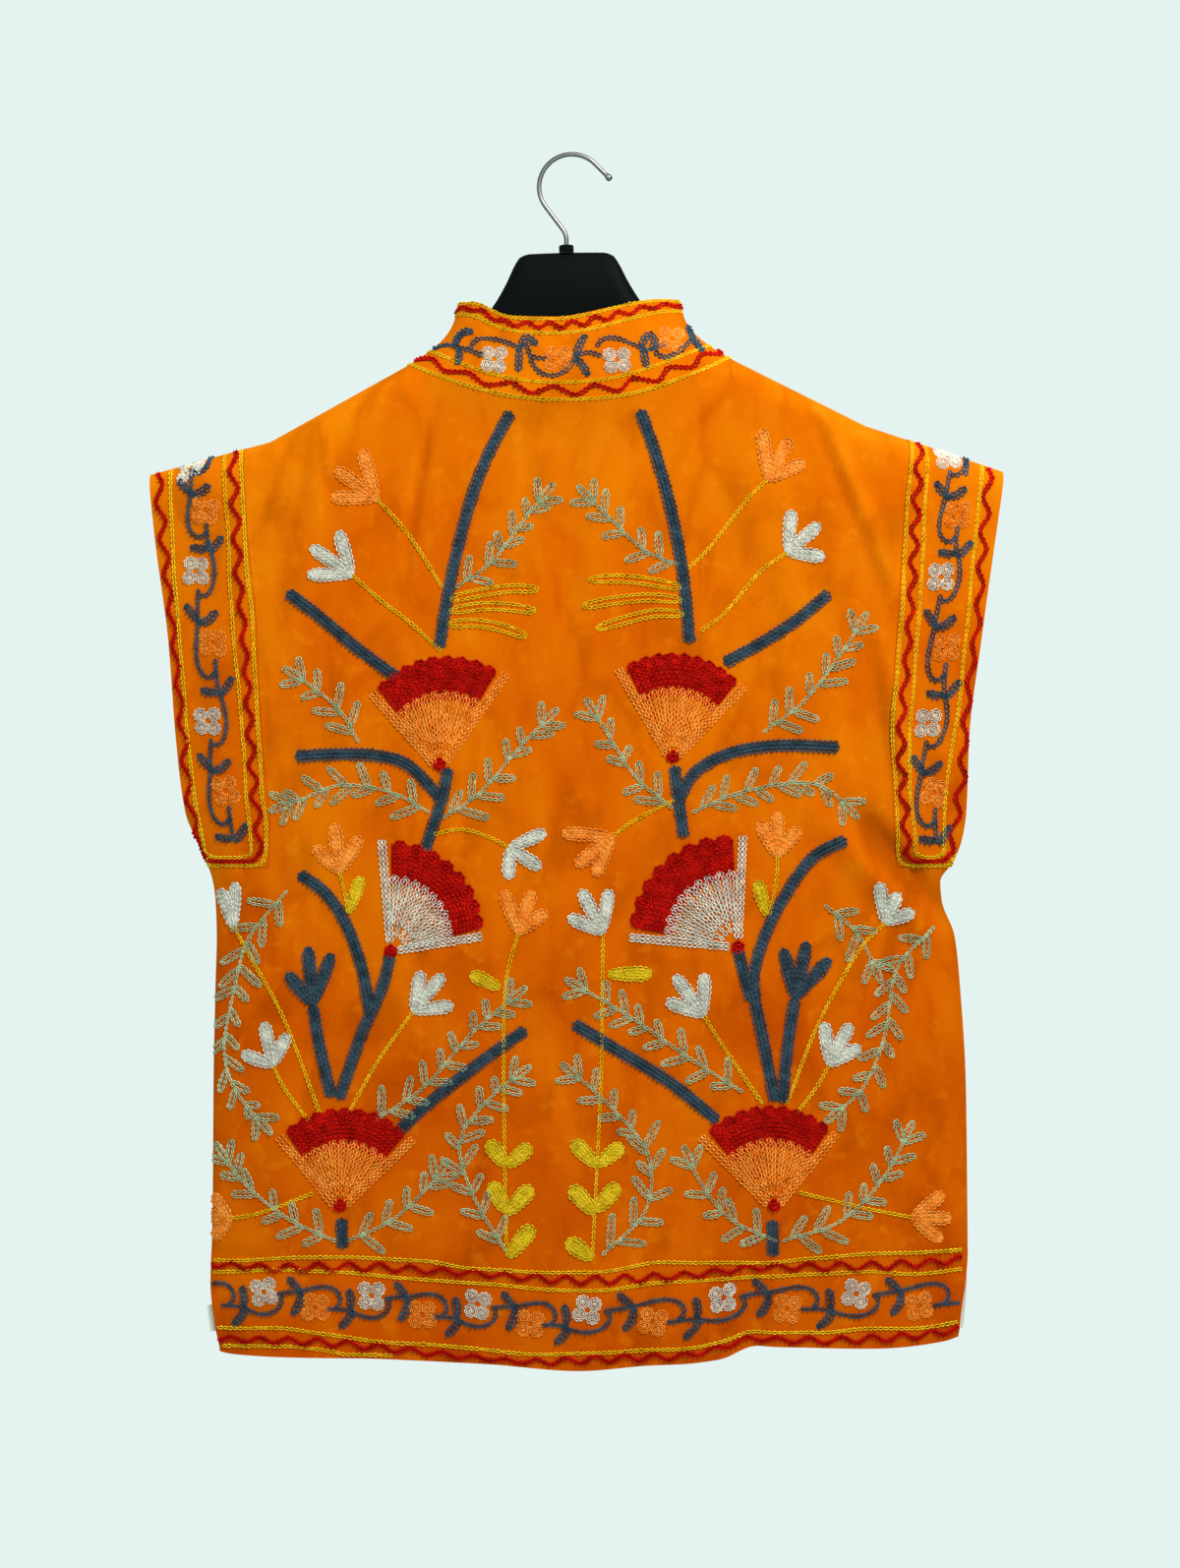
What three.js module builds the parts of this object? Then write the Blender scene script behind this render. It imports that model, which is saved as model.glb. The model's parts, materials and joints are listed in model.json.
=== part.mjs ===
// A cap-sleeved velvet jacket with a stand collar, hanging from a broad plastic hanger.
// Millimetres, +Z up. The jacket's back faces -Y and its front +Y; its left side is at -X.
// The origin is on the inside of the hook, close beside its crest, where the hanger hangs.
//
// The cloth is one flat tube. Its outer surface is a half depth to either side of the plane y = 0,
// given for each (x, z) by the tables below, and every piece is a wall behind that surface.
import * as THREE from "three";

// ---- driving dimensions -------------------------------------------------------------------------
const WALL = 2.5; // velvet and its lining
const SEAM = 0.3; // gap between neighbouring pieces
const UNDERARM = -541; // height of the seam under the sleeve
const SEAM_TOP = -227; // height at which the armhole seam reaches the shoulder
const CUFF_TOP = -243; // height of the cuff's highest point
const HEM_READ = -900; // height at which a column's place on the hem is read
const SIDE_POWER = 8; // how late the panels turn round at their sides
const SHOULDER_DEPTH = 22; // half depth of the cloth over the hanger's arm
const SHOULDER_DROP = 20; // height over which the cloth rounds the arm
const NECK_DROP = 46; // height over which a panel leads into the neckline

// The hanger, in its own frame: the stem stands at x = 0.
const HANGER_X = -2.6;
const HANGER_TILT = THREE.MathUtils.degToRad(1.27); // its right arm is the higher
const ARM_SLOPE = THREE.MathUtils.degToRad(27.8);
const ARM_APEX = -95.1; // where the two arms' top edges would meet
const ARM_END = 214;
const ARM_TIP = 4; // length of the rounded tip

const HOOK_WIRE = 3.5;
const HOOK_RADIUS = 25; // of the wire's centreline
const HOOK_X = 3.2; // of the arc's centre
const HOOK_END = THREE.MathUtils.degToRad(45); // where the arc meets the straight tail
const HOOK_TAIL = 16; // length of the tail
const HOOK_LEFT = THREE.MathUtils.degToRad(217); // where the arc meets the straight shank
const HOOK_BEND = 5; // length of the bend to either side of the corner of shank and stem
const HOOK_TIP_BALL = 2.5;
const NECK_TOP = -73;
const FERRULE_RADIUS = 5.6;
const FERRULE_HEIGHT = 4.6;

const COLLAR_WALL = 3;
const COLLAR_WAIST = 0.1; // how far its sides curve in between base and top, as a share
const COLLAR_SWELL = 0.06; // how far its back and front curve out
const COLLAR_SEAM = 0.5; // the collar over the neckline
const FRONT_GAP = 3; // between the two front edges
const FRONT_RISE = 2; // of the fronts' hem over the back's
const LABEL = { x: -268.5, y: -2.8, z: -884, out: 10, thick: 1.2, high: 20, turn: -0.12 };

// The jacket's outline: side edges below the underarm, cuff edges above it.
const OUTLINE = [
  { z: -906, left: -264, right: 300 },
  { z: -888, left: -268, right: 303 },
  { z: -856, left: -271.5, right: 305 },
  { z: -781, left: -270.5, right: 304.5 },
  { z: -706, left: -270, right: 303.5 },
  { z: -631, left: -268.5, right: 299 },
  { z: -594, left: -267.5, right: 295 },
  { z: -566, left: -268.5, right: 285 },
  { z: -552, left: -270.5, right: 284 },
  { z: -537, left: -275.5, right: 294 },
  { z: -519, left: -283, right: 300 },
  { z: -500, left: -290, right: 302.5 },
  { z: -444, left: -296.5, right: 304 },
  { z: -369, left: -302, right: 313 },
  { z: -294, left: -312, right: 323.5 },
  { z: -243, left: -317.5, right: 331 },
];

// Below the vent's top the back is narrower than the fronts at its right edge.
const VENT = { top: -826, drop: 60, inset: 5 };

// The seam between body and sleeve, carried on down as a line through the panels.
const ARMHOLE = [
  { z: -912, left: -240, right: 262 },
  { z: -700, left: -236, right: 257 },
  { z: -541, left: -226, right: 249.5 },
  { z: -508, left: -224.5, right: 246.5 },
  { z: -472, left: -228, right: 245 },
  { z: -436, left: -230.5, right: 243 },
  { z: -392, left: -233, right: 246 },
  { z: -350, left: -234.8, right: 249 },
  { z: -290, left: -241, right: 252.5 },
  { z: -227, left: -244.5, right: 258 },
];

// Half depths, and how the surface reaches its edge: 0.5 is a round fold, 1 a flat free edge.
const DEPTH = [
  { z: -915, middle: 21, edge: 8, turn: 1 },
  { z: -870, middle: 20, edge: 6, turn: 1 },
  { z: -838, middle: 19, edge: 3.2, turn: 0.9 },
  { z: -826, middle: 19, edge: 0, turn: 0.5 },
  { z: -700, middle: 18, edge: 0, turn: 0.5 },
  { z: -548, middle: 19, edge: 0, turn: 0.5 },
  { z: -520, middle: 19.5, edge: 5, turn: 0.85 },
  { z: -470, middle: 20, edge: 11, turn: 1 },
  { z: -350, middle: 22, edge: 14, turn: 1 },
  { z: -240, middle: 22, edge: 13, turn: 1 },
  { z: -160, middle: 22, edge: 13, turn: 1 },
];

const HEM = [
  { x: -280, z: -905 },
  { x: -255, z: -909.5 },
  { x: -150, z: -911 },
  { x: -60, z: -914.5 },
  { x: 10, z: -919.5 },
  { x: 60, z: -915.5 },
  { x: 115, z: -911 },
  { x: 145, z: -902 },
  { x: 235, z: -903.5 },
  { x: 285, z: -900 },
  { x: 300, z: -896 },
];

// Shoulder line past the hanger's tips.
const DROOP_FROM = 226;
const DROOP_SLOPE = { left: 0.27, right: 0.33 };

// The neckline, an oval seen from above, and the collar's top edge over it.
const NECK = { x: 1, half: 123, back: 28, front: 26, backZ: -190.5, frontZ: -244, curve: 2.2, square: 4 };
const COLLAR_TOP = [
  { turn: -180, x: -4, y: 20, z: -186 },
  { turn: -150, x: -44, y: 19, z: -168 },
  { turn: -118, x: -76, y: 11, z: -131 },
  { turn: -90, x: -83, y: 0, z: -112 },
  { turn: -62, x: -70, y: -12, z: -113 },
  { turn: -30, x: -42, y: -18.5, z: -125 },
  { turn: 0, x: -8, y: -20, z: -126 },
  { turn: 30, x: 30, y: -18.5, z: -119 },
  { turn: 62, x: 66, y: -12, z: -111 },
  { turn: 90, x: 85, y: 0, z: -109.5 },
  { turn: 118, x: 82, y: 11, z: -129 },
  { turn: 150, x: 50, y: 19, z: -167 },
  { turn: 180, x: 2, y: 20, z: -186 },
];

// Soft folds: a ridge (height over 0) or a trough along a bowed line from one point to another.
const FOLDS = [
  { side: "back", x0: 178, z0: -190, x1: 226, z1: -392, bow: -9, width: 10, height: -5.5 },
  { side: "back", x0: 196, z0: -225, x1: 250, z1: -372, bow: -8, width: 11, height: 3.5 },
  { side: "back", x0: 196, z0: -508, x1: 296, z1: -606, bow: 4, width: 11, height: 6 },
  { side: "back", x0: 222, z0: -500, x1: 284, z1: -566, bow: 4, width: 9, height: -7 },
  { side: "back", x0: 236, z0: -360, x1: 240, z1: -520, bow: 0, width: 11, height: -4.5 },
  { side: "back", x0: -102, z0: -205, x1: -126, z1: -330, bow: 4, width: 12, height: -3.5 },
  { side: "back", x0: -176, z0: -212, x1: -206, z1: -320, bow: 5, width: 12, height: -3.5 },
  { side: "back", x0: -150, z0: -215, x1: -168, z1: -300, bow: 0, width: 12, height: 2.5 },
  { side: "back", x0: 96, z0: -850, x1: 84, z1: -930, bow: 0, width: 24, height: 5 },
  { side: "back", x0: 146, z0: -820, x1: 132, z1: -930, bow: 0, width: 15, height: -7 },
  { side: "back", x0: -20, z0: -640, x1: -10, z1: -930, bow: 0, width: 50, height: 3.5 },
  { side: "back", x0: -140, z0: -700, x1: -150, z1: -930, bow: 0, width: 30, height: -3 },
  { side: "front", x0: -150, z0: -215, x1: -120, z1: -520, bow: 8, width: 18, height: -4 },
  { side: "front", x0: 150, z0: -205, x1: 118, z1: -500, bow: -8, width: 18, height: -4 },
  { side: "front", x0: -205, z0: -560, x1: -160, z1: -920, bow: 0, width: 24, height: 4 },
  { side: "front", x0: 215, z0: -540, x1: 170, z1: -920, bow: 0, width: 24, height: 4 },
  { side: "front", x0: -90, z0: -480, x1: -100, z1: -925, bow: 0, width: 26, height: -4 },
  { side: "front", x0: 100, z0: -480, x1: 96, z1: -925, bow: 0, width: 26, height: -4 },
];

// The hanger's body: top and bottom edges and thickness, half of it.
const HANGER = [
  { x: 0, top: NECK_TOP, bottom: -140, thick: 15 },
  { x: 28, top: NECK_TOP - 0.5, bottom: -141, thick: 15 },
  { x: 35.5, top: -76, bottom: -143, thick: 15 },
  { x: 40, top: -82.5, bottom: -146, thick: 15 },
  { x: 46, top: -94.8, bottom: -150, thick: 15 },
  { x: 56, top: -111.5, bottom: -157, thick: 15 },
  { x: 70, top: -127.5, bottom: -166, thick: 15.5 },
  { x: 90, top: -144, bottom: -178, thick: 14 },
  { x: 120, top: -160.8, bottom: -191, thick: 14 },
  { x: 160, top: -180, bottom: -209, thick: 21 },
  { x: 214, top: -208, bottom: -232, thick: 30 },
];

// Grid sizes.
const STRIP_CELLS = 5;
const SHOULDER_CELLS = 8;
const NECK_CELLS = 8;
const LOW_CELLS = 15;
const HIGH_CELLS = 12;
const ROUND_CELLS = 5;
const COLLAR_CELLS = 4;
const HANGER_SIDES = 18;
const WIRE_SIDES = 10;

const COLOURS = {
  velvet: { color: 0xd9650a, roughness: 0.85, metalness: 0 },
  border: { color: 0xcf5a08, roughness: 0.85, metalness: 0 },
  label: { color: 0xd9dccb, roughness: 0.9, metalness: 0 },
  plastic: { color: 0x101214, roughness: 0.35, metalness: 0 },
  steel: { color: 0x9a9a96, roughness: 0.25, metalness: 1 },
};

// ---- reading the tables -------------------------------------------------------------------------
const mix = (a, b, t) => a + (b - a) * t;
const clamp = (v, low, high) => Math.min(high, Math.max(low, v));
const smooth = (v) => {
  const t = clamp(v, 0, 1);
  return t * t * (3 - 2 * t);
};

// Column `of` of a table at the value v of column `at`, by a cubic that adds no overshoot.
function read(rows, at, of, v) {
  const last = rows.length - 1;
  const x = clamp(v, rows[0][at], rows[last][at]);
  let i = 0;
  while (i < last - 1 && x > rows[i + 1][at]) i++;
  const slope = (k) => (rows[k + 1][of] - rows[k][of]) / (rows[k + 1][at] - rows[k][at]);
  const tangent = (k) => {
    if (k === 0) return slope(0);
    if (k === last) return slope(last - 1);
    const [a, b] = [slope(k - 1), slope(k)];
    return a * b <= 0 ? 0 : (2 * a * b) / (a + b);
  };
  const step = rows[i + 1][at] - rows[i][at];
  const t = (x - rows[i][at]) / step;
  const h = t * t * (3 - 2 * t);
  return (
    mix(rows[i][of], rows[i + 1][of], h) +
    step * t * (1 - t) * ((1 - t) * tangent(i) - t * tangent(i + 1))
  );
}

// ---- the cloth's surface ------------------------------------------------------------------------
// Top edge of the hanger's arms, in the part's frame.
function armTop(x) {
  const apexX = HANGER_X - ARM_APEX * Math.sin(HANGER_TILT);
  const apexZ = ARM_APEX * Math.cos(HANGER_TILT);
  const run = x - apexX;
  return apexZ + run * Math.tan(HANGER_TILT - Math.sign(run) * ARM_SLOPE);
}

// The shoulder line: the cloth lies on the arms, and droops past their tips.
function shoulder(x) {
  const droop = x < 0 ? DROOP_SLOPE.left : DROOP_SLOPE.right;
  const past = Math.max(0, Math.abs(x) - DROOP_FROM);
  const held = Math.sign(x) * Math.min(Math.abs(x), DROOP_FROM);
  return armTop(held) + SEAM + WALL - droop * past;
}

const neckShare = (x) => Math.abs(x - NECK.x) / NECK.half;

// Height of a panel's top edge over x: the neckline between the neck points, else the shoulder.
function topEdge(x, side) {
  const share = neckShare(x);
  if (share >= 1) return shoulder(x);
  const low = side === "back" ? NECK.backZ : NECK.frontZ;
  const point = shoulder(NECK.x + Math.sign(x - NECK.x) * NECK.half);
  return mix(low, point, share ** NECK.curve);
}

// How far the neckline stands from the middle plane.
function neckDepth(x, side) {
  const share = neckShare(x);
  const full = side === "back" ? NECK.back : NECK.front;
  return share >= 1 ? 0 : full * Math.sqrt(1 - share ** NECK.square);
}

// Height over which a panel turns from hanging down to its top edge.
const topDrop = (x, side) => mix(SHOULDER_DROP, NECK_DROP, neckDepth(x, side) / NECK.back);

// Middle and half width of a side's outline at height z.
function outline(z, side) {
  const left = read(OUTLINE, "z", "left", z);
  const inset = side === "back" ? VENT.inset * smooth((VENT.top - z) / VENT.drop) : 0;
  const right = read(OUTLINE, "z", "right", z) - inset;
  return { middle: (left + right) / 2, half: (right - left) / 2 };
}

function edgeShare(x, z, side) {
  const { middle, half } = outline(z, side);
  return Math.min(1, Math.abs(x - middle) / half);
}

function foldHeight(x, z, side) {
  let sum = 0;
  for (const f of FOLDS.filter((row) => row.side === side)) {
    const [dx, dz] = [f.x1 - f.x0, f.z1 - f.z0];
    const long = Math.hypot(dx, dz);
    const along = ((x - f.x0) * dx + (z - f.z0) * dz) / (long * long);
    const t = clamp(along, 0, 1);
    const across = ((x - f.x0) * dz - (z - f.z0) * dx) / long - f.bow * 4 * t * (1 - t);
    const past = (along - t) * long;
    const fade = Math.sin(Math.PI * clamp(0.08 + 0.84 * t, 0, 1)) ** 0.7;
    sum += f.height * fade * Math.exp(-((across / f.width) ** 2) - (past / (2 * f.width)) ** 2);
  }
  return sum;
}

// Half depth of the outer surface at (x, z). `rise` runs from 0 to 1 over the top drop.
function halfDepth(x, z, rise, side, xTop) {
  const share = edgeShare(x, z, side);
  const edge = read(DEPTH, "z", "edge", z);
  const turn = read(DEPTH, "z", "turn", z);
  const middle = read(DEPTH, "z", "middle", z);
  const flat = edge + (middle - edge) * (1 - share ** SIDE_POWER) ** turn;
  const held = 1 - rise * rise;
  const neck = neckDepth(xTop, side);
  const folds = foldHeight(x, z, side) * smooth((1 - share) / 0.1) * smooth(held / 0.6);
  return neck + (flat - neck) * held ** mix(0.5, 1, neck / NECK.back) + folds;
}

// x of a line down the sleeve and the panel's outer strip: 0 is the armhole seam, 1 the edge.
function stripX(hand, share, z, side) {
  const { middle, half } = outline(z, side);
  const seam = Math.abs(read(ARMHOLE, "z", hand, z) - middle) / half;
  const turn = read(DEPTH, "z", "turn", z);
  const rest = (1 - seam ** SIDE_POWER) * (1 - share) ** (1 / turn);
  const sign = hand === "left" ? -1 : 1;
  return middle + sign * half * (1 - rest) ** (1 / SIDE_POWER);
}

// A point of the outer surface on a column that is at x(z): low rows run from the hem (0) to the
// underarm (1), high rows from there (1) to the start of the top drop (2) and over it (3).
function clothPoint(xAt, topAt, row, side, top = topEdge) {
  const sign = side === "back" ? -1 : 1;
  const xTop = xAt(topAt);
  const high = top(xTop, side);
  const drop = topDrop(xTop, side);
  let z;
  let rise = 0;
  if (row <= 1) {
    const hem = read(HEM, "x", "z", xAt(HEM_READ)) + (side === "front" ? FRONT_RISE : 0);
    z = mix(hem, UNDERARM - SEAM / 2, row);
  } else if (row <= 2) z = mix(UNDERARM + SEAM / 2, high - drop, row - 1);
  else {
    rise = Math.sin(((row - 2) * Math.PI) / 2);
    z = high - drop + drop * rise;
  }
  const x = xAt(z);
  return new THREE.Vector3(x, sign * (SEAM / 2 + halfDepth(x, z, rise, side, xTop)), z);
}

// ---- walls --------------------------------------------------------------------------------------
// A closed wall over a grid of cells. point(i, j) gives the outer surface, and has(i, j) says which
// cells there are. `inside` may adjust an inner point. `flip` turns the faces round.
function wall({ columns, rows, point, has = () => true, flip = false, thick = WALL, inside, level }) {
  const step = 0.5;
  const normal = (i, j) => {
    const [i0, i1] = [Math.max(0, i - step), Math.min(columns, i + step)];
    const [j0, j1] = [Math.max(0, j - step), Math.min(rows, j + step)];
    const across = point(i1, j).sub(point(i0, j));
    const up = point(i, j1).sub(point(i, j0));
    const n = across.cross(up);
    if (flip) n.negate();
    if (level) n.z = 0;
    return n.normalize();
  };
  const vertices = [];
  const index = new Map();
  const vertex = (i, j, inner) => {
    const key = `${i},${j},${inner}`;
    if (!index.has(key)) {
      const p = point(i, j);
      if (inner) {
        const outer = p.clone();
        p.addScaledVector(normal(i, j), -thick);
        if (inside) inside(p, outer, i, j);
      }
      index.set(key, vertices.length / 3);
      vertices.push(p.x, p.y, p.z);
    }
    return index.get(key);
  };
  const faces = [];
  const quad = (a, b, c, d) => {
    if (flip) faces.push(a, c, b, a, d, c);
    else faces.push(a, b, c, a, c, d);
  };
  const full = (i, j) => i >= 0 && j >= 0 && i < columns && j < rows && has(i, j);
  for (let i = 0; i < columns; i++)
    for (let j = 0; j < rows; j++) {
      if (!full(i, j)) continue;
      const corners = [[i, j], [i + 1, j], [i + 1, j + 1], [i, j + 1]];
      const out = corners.map(([a, b]) => vertex(a, b, false));
      const back = corners.map(([a, b]) => vertex(a, b, true));
      quad(...out);
      quad(back[3], back[2], back[1], back[0]);
      const beside = [[i, j - 1], [i + 1, j], [i, j + 1], [i - 1, j]];
      beside.forEach(([a, b], k) => {
        const next = (k + 1) % 4;
        if (!full(a, b)) quad(out[k], back[k], back[next], out[next]);
      });
    }
  const geometry = new THREE.BufferGeometry();
  geometry.setAttribute("position", new THREE.Float32BufferAttribute(vertices, 3));
  geometry.setIndex(faces);
  return geometry;
}

// Row number of the grid to the row value of clothPoint.
const HIGH_FROM = LOW_CELLS;
const ROUND_FROM = LOW_CELLS + HIGH_CELLS;
const ROWS = ROUND_FROM + ROUND_CELLS;
function rowValue(j) {
  if (j <= HIGH_FROM) return j / LOW_CELLS;
  if (j <= ROUND_FROM) return 1 + (j - HIGH_FROM) / HIGH_CELLS;
  return 2 + (j - ROUND_FROM) / ROUND_CELLS;
}

// Centre line of the fronts.
function centreX(z) {
  const between = (read(ARMHOLE, "z", "left", z) + read(ARMHOLE, "z", "right", z)) / 2;
  return mix(NECK.x, between, smooth((NECK.frontZ - z) / 300));
}

// The columns of a half panel, as shares of the way from the armhole seam to the centre line: the
// shoulder's are evenly spaced, and the neck's stand under the collar's own columns.
function halfColumns(hand) {
  const seam = Math.abs(read(ARMHOLE, "z", hand, SEAM_TOP) - NECK.x);
  const point = (seam - NECK.half) / seam;
  const shares = [];
  for (let k = 0; k < SHOULDER_CELLS; k++) shares.push((point * k) / SHOULDER_CELLS);
  for (let k = 0; k <= NECK_CELLS; k++) {
    const angle = (Math.PI / 2) * (1 - k / NECK_CELLS);
    shares.push(1 - (NECK.half * Math.sin(angle)) / seam);
  }
  return shares;
}

// A front or the back. Each hand has an outer strip beside the armhole seam, then its half columns.
function panel(side, hands) {
  const columns = [];
  for (const hand of hands) {
    const sign = hand === "left" ? -1 : 1;
    const edge = side === "front" ? sign * (FRONT_GAP / 2) : 0;
    const own = [];
    for (let k = STRIP_CELLS; k > 0; k--)
      own.push({ strip: true, xAt: (z) => stripX(hand, k / STRIP_CELLS, z, side) });
    for (const share of halfColumns(hand)) {
      const seam = (z) => read(ARMHOLE, "z", hand, z) - (sign * SEAM) / 2;
      own.push({ xAt: (z) => mix(seam(z), centreX(z) + edge, share) });
    }
    if (hand === "right") own.reverse();
    columns.push(...own.slice(columns.length ? 1 : 0));
  }
  const sign = side === "back" ? -1 : 1;
  const seams = columns.map((column, i) => {
    const beside = columns[i - 1]?.strip || columns[i + 1]?.strip;
    return !column.strip && (beside || i === 0 || i === columns.length - 1);
  });
  return wall({
    columns: columns.length - 1,
    rows: ROWS,
    flip: side === "front",
    point: (i, j) => {
      const below = columns[Math.floor(i)];
      const above = columns[Math.ceil(i)];
      const xAt = (z) => mix(below.xAt(z), above.xAt(z), i - Math.floor(i));
      return clothPoint(xAt, SEAM_TOP, rowValue(j), side);
    },
    has: (i, j) => j < HIGH_FROM || !(columns[i].strip || columns[i + 1].strip),
    inside: (p, outer, i, j) => {
      if (seams[i]) p.x = outer.x;
      if (j === HIGH_FROM && columns[i].strip) p.z = outer.z;
      if (j === ROWS && p.z > outer.z) p.z = outer.z;
      if (sign * p.y < SEAM / 2) p.y = (sign * SEAM) / 2;
    },
  });
}

// A sleeve: a strip from the underarm at the back, over the shoulder, to the underarm in front.
function sleeve(hand) {
  const half = HIGH_CELLS + ROUND_CELLS;
  const shift = (hand === "left" ? -1 : 1) * (SEAM / 2);
  const point = (i, j) => {
    const share = i / STRIP_CELLS;
    const side = j <= half ? "back" : "front";
    const xAt = (z) => stripX(hand, share, z, side) + shift * (1 - share);
    const up = j <= half ? j : 2 * half - j;
    const row = up <= HIGH_CELLS ? 1 + up / HIGH_CELLS : 2 + (up - HIGH_CELLS) / ROUND_CELLS;
    const p = clothPoint(xAt, CUFF_TOP, Math.max(row, 1 + 1e-9), side, (x) => shoulder(x));
    if (j === half) p.y = 0;
    return p;
  };
  return wall({
    columns: STRIP_CELLS,
    rows: 2 * half,
    flip: hand === "left",
    point,
    inside: (p, outer, i, j) => {
      if (i === 0) p.x = outer.x;
      if (j === 0 || j === 2 * half) p.z = outer.z;
      const sign = j < half ? -1 : 1;
      if (j !== half && sign * p.y < SEAM / 2) p.y = (sign * SEAM) / 2;
    },
  });
}

// The collar: from the left front edge round the back of the neck to the right front edge.
function collar() {
  const quarter = 90;
  const endTurn = 2 * quarter - THREE.MathUtils.radToDeg(FRONT_GAP / 2 / NECK.half);
  const round = 4 * NECK_CELLS;
  const point = (i, j) => {
    const turn = clamp(mix(-2 * quarter, 2 * quarter, i / round), -endTurn, endTurn);
    const angle = THREE.MathUtils.degToRad(turn);
    const side = Math.abs(turn) <= quarter ? "back" : "front";
    const sign = side === "back" ? -1 : 1;
    const baseX = NECK.x + NECK.half * Math.sin(angle);
    const baseZ = topEdge(baseX, side) + COLLAR_SEAM;
    const base = new THREE.Vector3(baseX, sign * neckDepth(baseX, side), baseZ);
    const top = new THREE.Vector3(
      read(COLLAR_TOP, "turn", "x", turn),
      read(COLLAR_TOP, "turn", "y", turn),
      read(COLLAR_TOP, "turn", "z", turn),
    );
    const up = j / COLLAR_CELLS;
    const arch = Math.sin(Math.PI * up);
    const p = base.lerp(top, up);
    const x = NECK.x + (p.x - NECK.x) * (1 - COLLAR_WAIST * arch);
    return new THREE.Vector3(x, p.y * (1 + COLLAR_SWELL * arch), p.z);
  };
  return wall({
    columns: round,
    rows: COLLAR_CELLS,
    point,
    thick: COLLAR_WALL,
    level: true,
    inside: (p, outer, i) => {
      if (i === 0 || i === round) p.x = outer.x;
    },
  });
}

// A lofted solid through closed rings of points, capped at both ends.
function loft(rings) {
  const sides = rings[0].length;
  const vertices = rings.flat().flatMap((p) => [p.x, p.y, p.z]);
  const faces = [];
  for (let r = 0; r + 1 < rings.length; r++)
    for (let k = 0; k < sides; k++) {
      const [a, b] = [r * sides + k, r * sides + ((k + 1) % sides)];
      faces.push(a, b, b + sides, a, b + sides, a + sides);
    }
  for (const [ring, turned] of [[0, true], [rings.length - 1, false]]) {
    const centre = vertices.length / 3;
    const middle = rings[ring].reduce((s, p) => s.add(p), new THREE.Vector3());
    middle.divideScalar(sides);
    vertices.push(middle.x, middle.y, middle.z);
    for (let k = 0; k < sides; k++) {
      const [a, b] = [ring * sides + k, ring * sides + ((k + 1) % sides)];
      if (turned) faces.push(centre, b, a);
      else faces.push(centre, a, b);
    }
  }
  const geometry = new THREE.BufferGeometry();
  geometry.setAttribute("position", new THREE.Float32BufferAttribute(vertices, 3));
  geometry.setIndex(faces);
  return geometry;
}

// The hanger's body, lofted along x from tip to tip through oval sections.
function hangerBody() {
  const stations = HANGER.slice(0, -1).flatMap((row, k) => [row.x, mix(row.x, HANGER[k + 1].x, 0.5)]);
  const shrink = [[0, 1], [0.5, 0.86], [0.85, 0.5], [1, 0.12]];
  const half = [
    ...stations.map((x) => [x, 1]),
    ...shrink.map(([way, size]) => [ARM_END + ARM_TIP * way, size]),
  ];
  const all = [...half.slice(1).reverse().map(([x, size]) => [-x, size]), ...half];
  return loft(
    all.map(([x, size]) => {
      const at = Math.abs(x);
      const top = read(HANGER, "x", "top", at);
      const bottom = read(HANGER, "x", "bottom", at);
      const thick = read(HANGER, "x", "thick", at);
      const [middle, high] = [(top + bottom) / 2, ((top - bottom) / 2) * size];
      return Array.from({ length: HANGER_SIDES }, (_, k) => {
        const angle = (2 * Math.PI * k) / HANGER_SIDES;
        return new THREE.Vector3(
          x, (-Math.sin(angle) * thick * size) / 2, middle + high * Math.cos(angle),
        );
      });
    }),
  );
}

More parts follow.
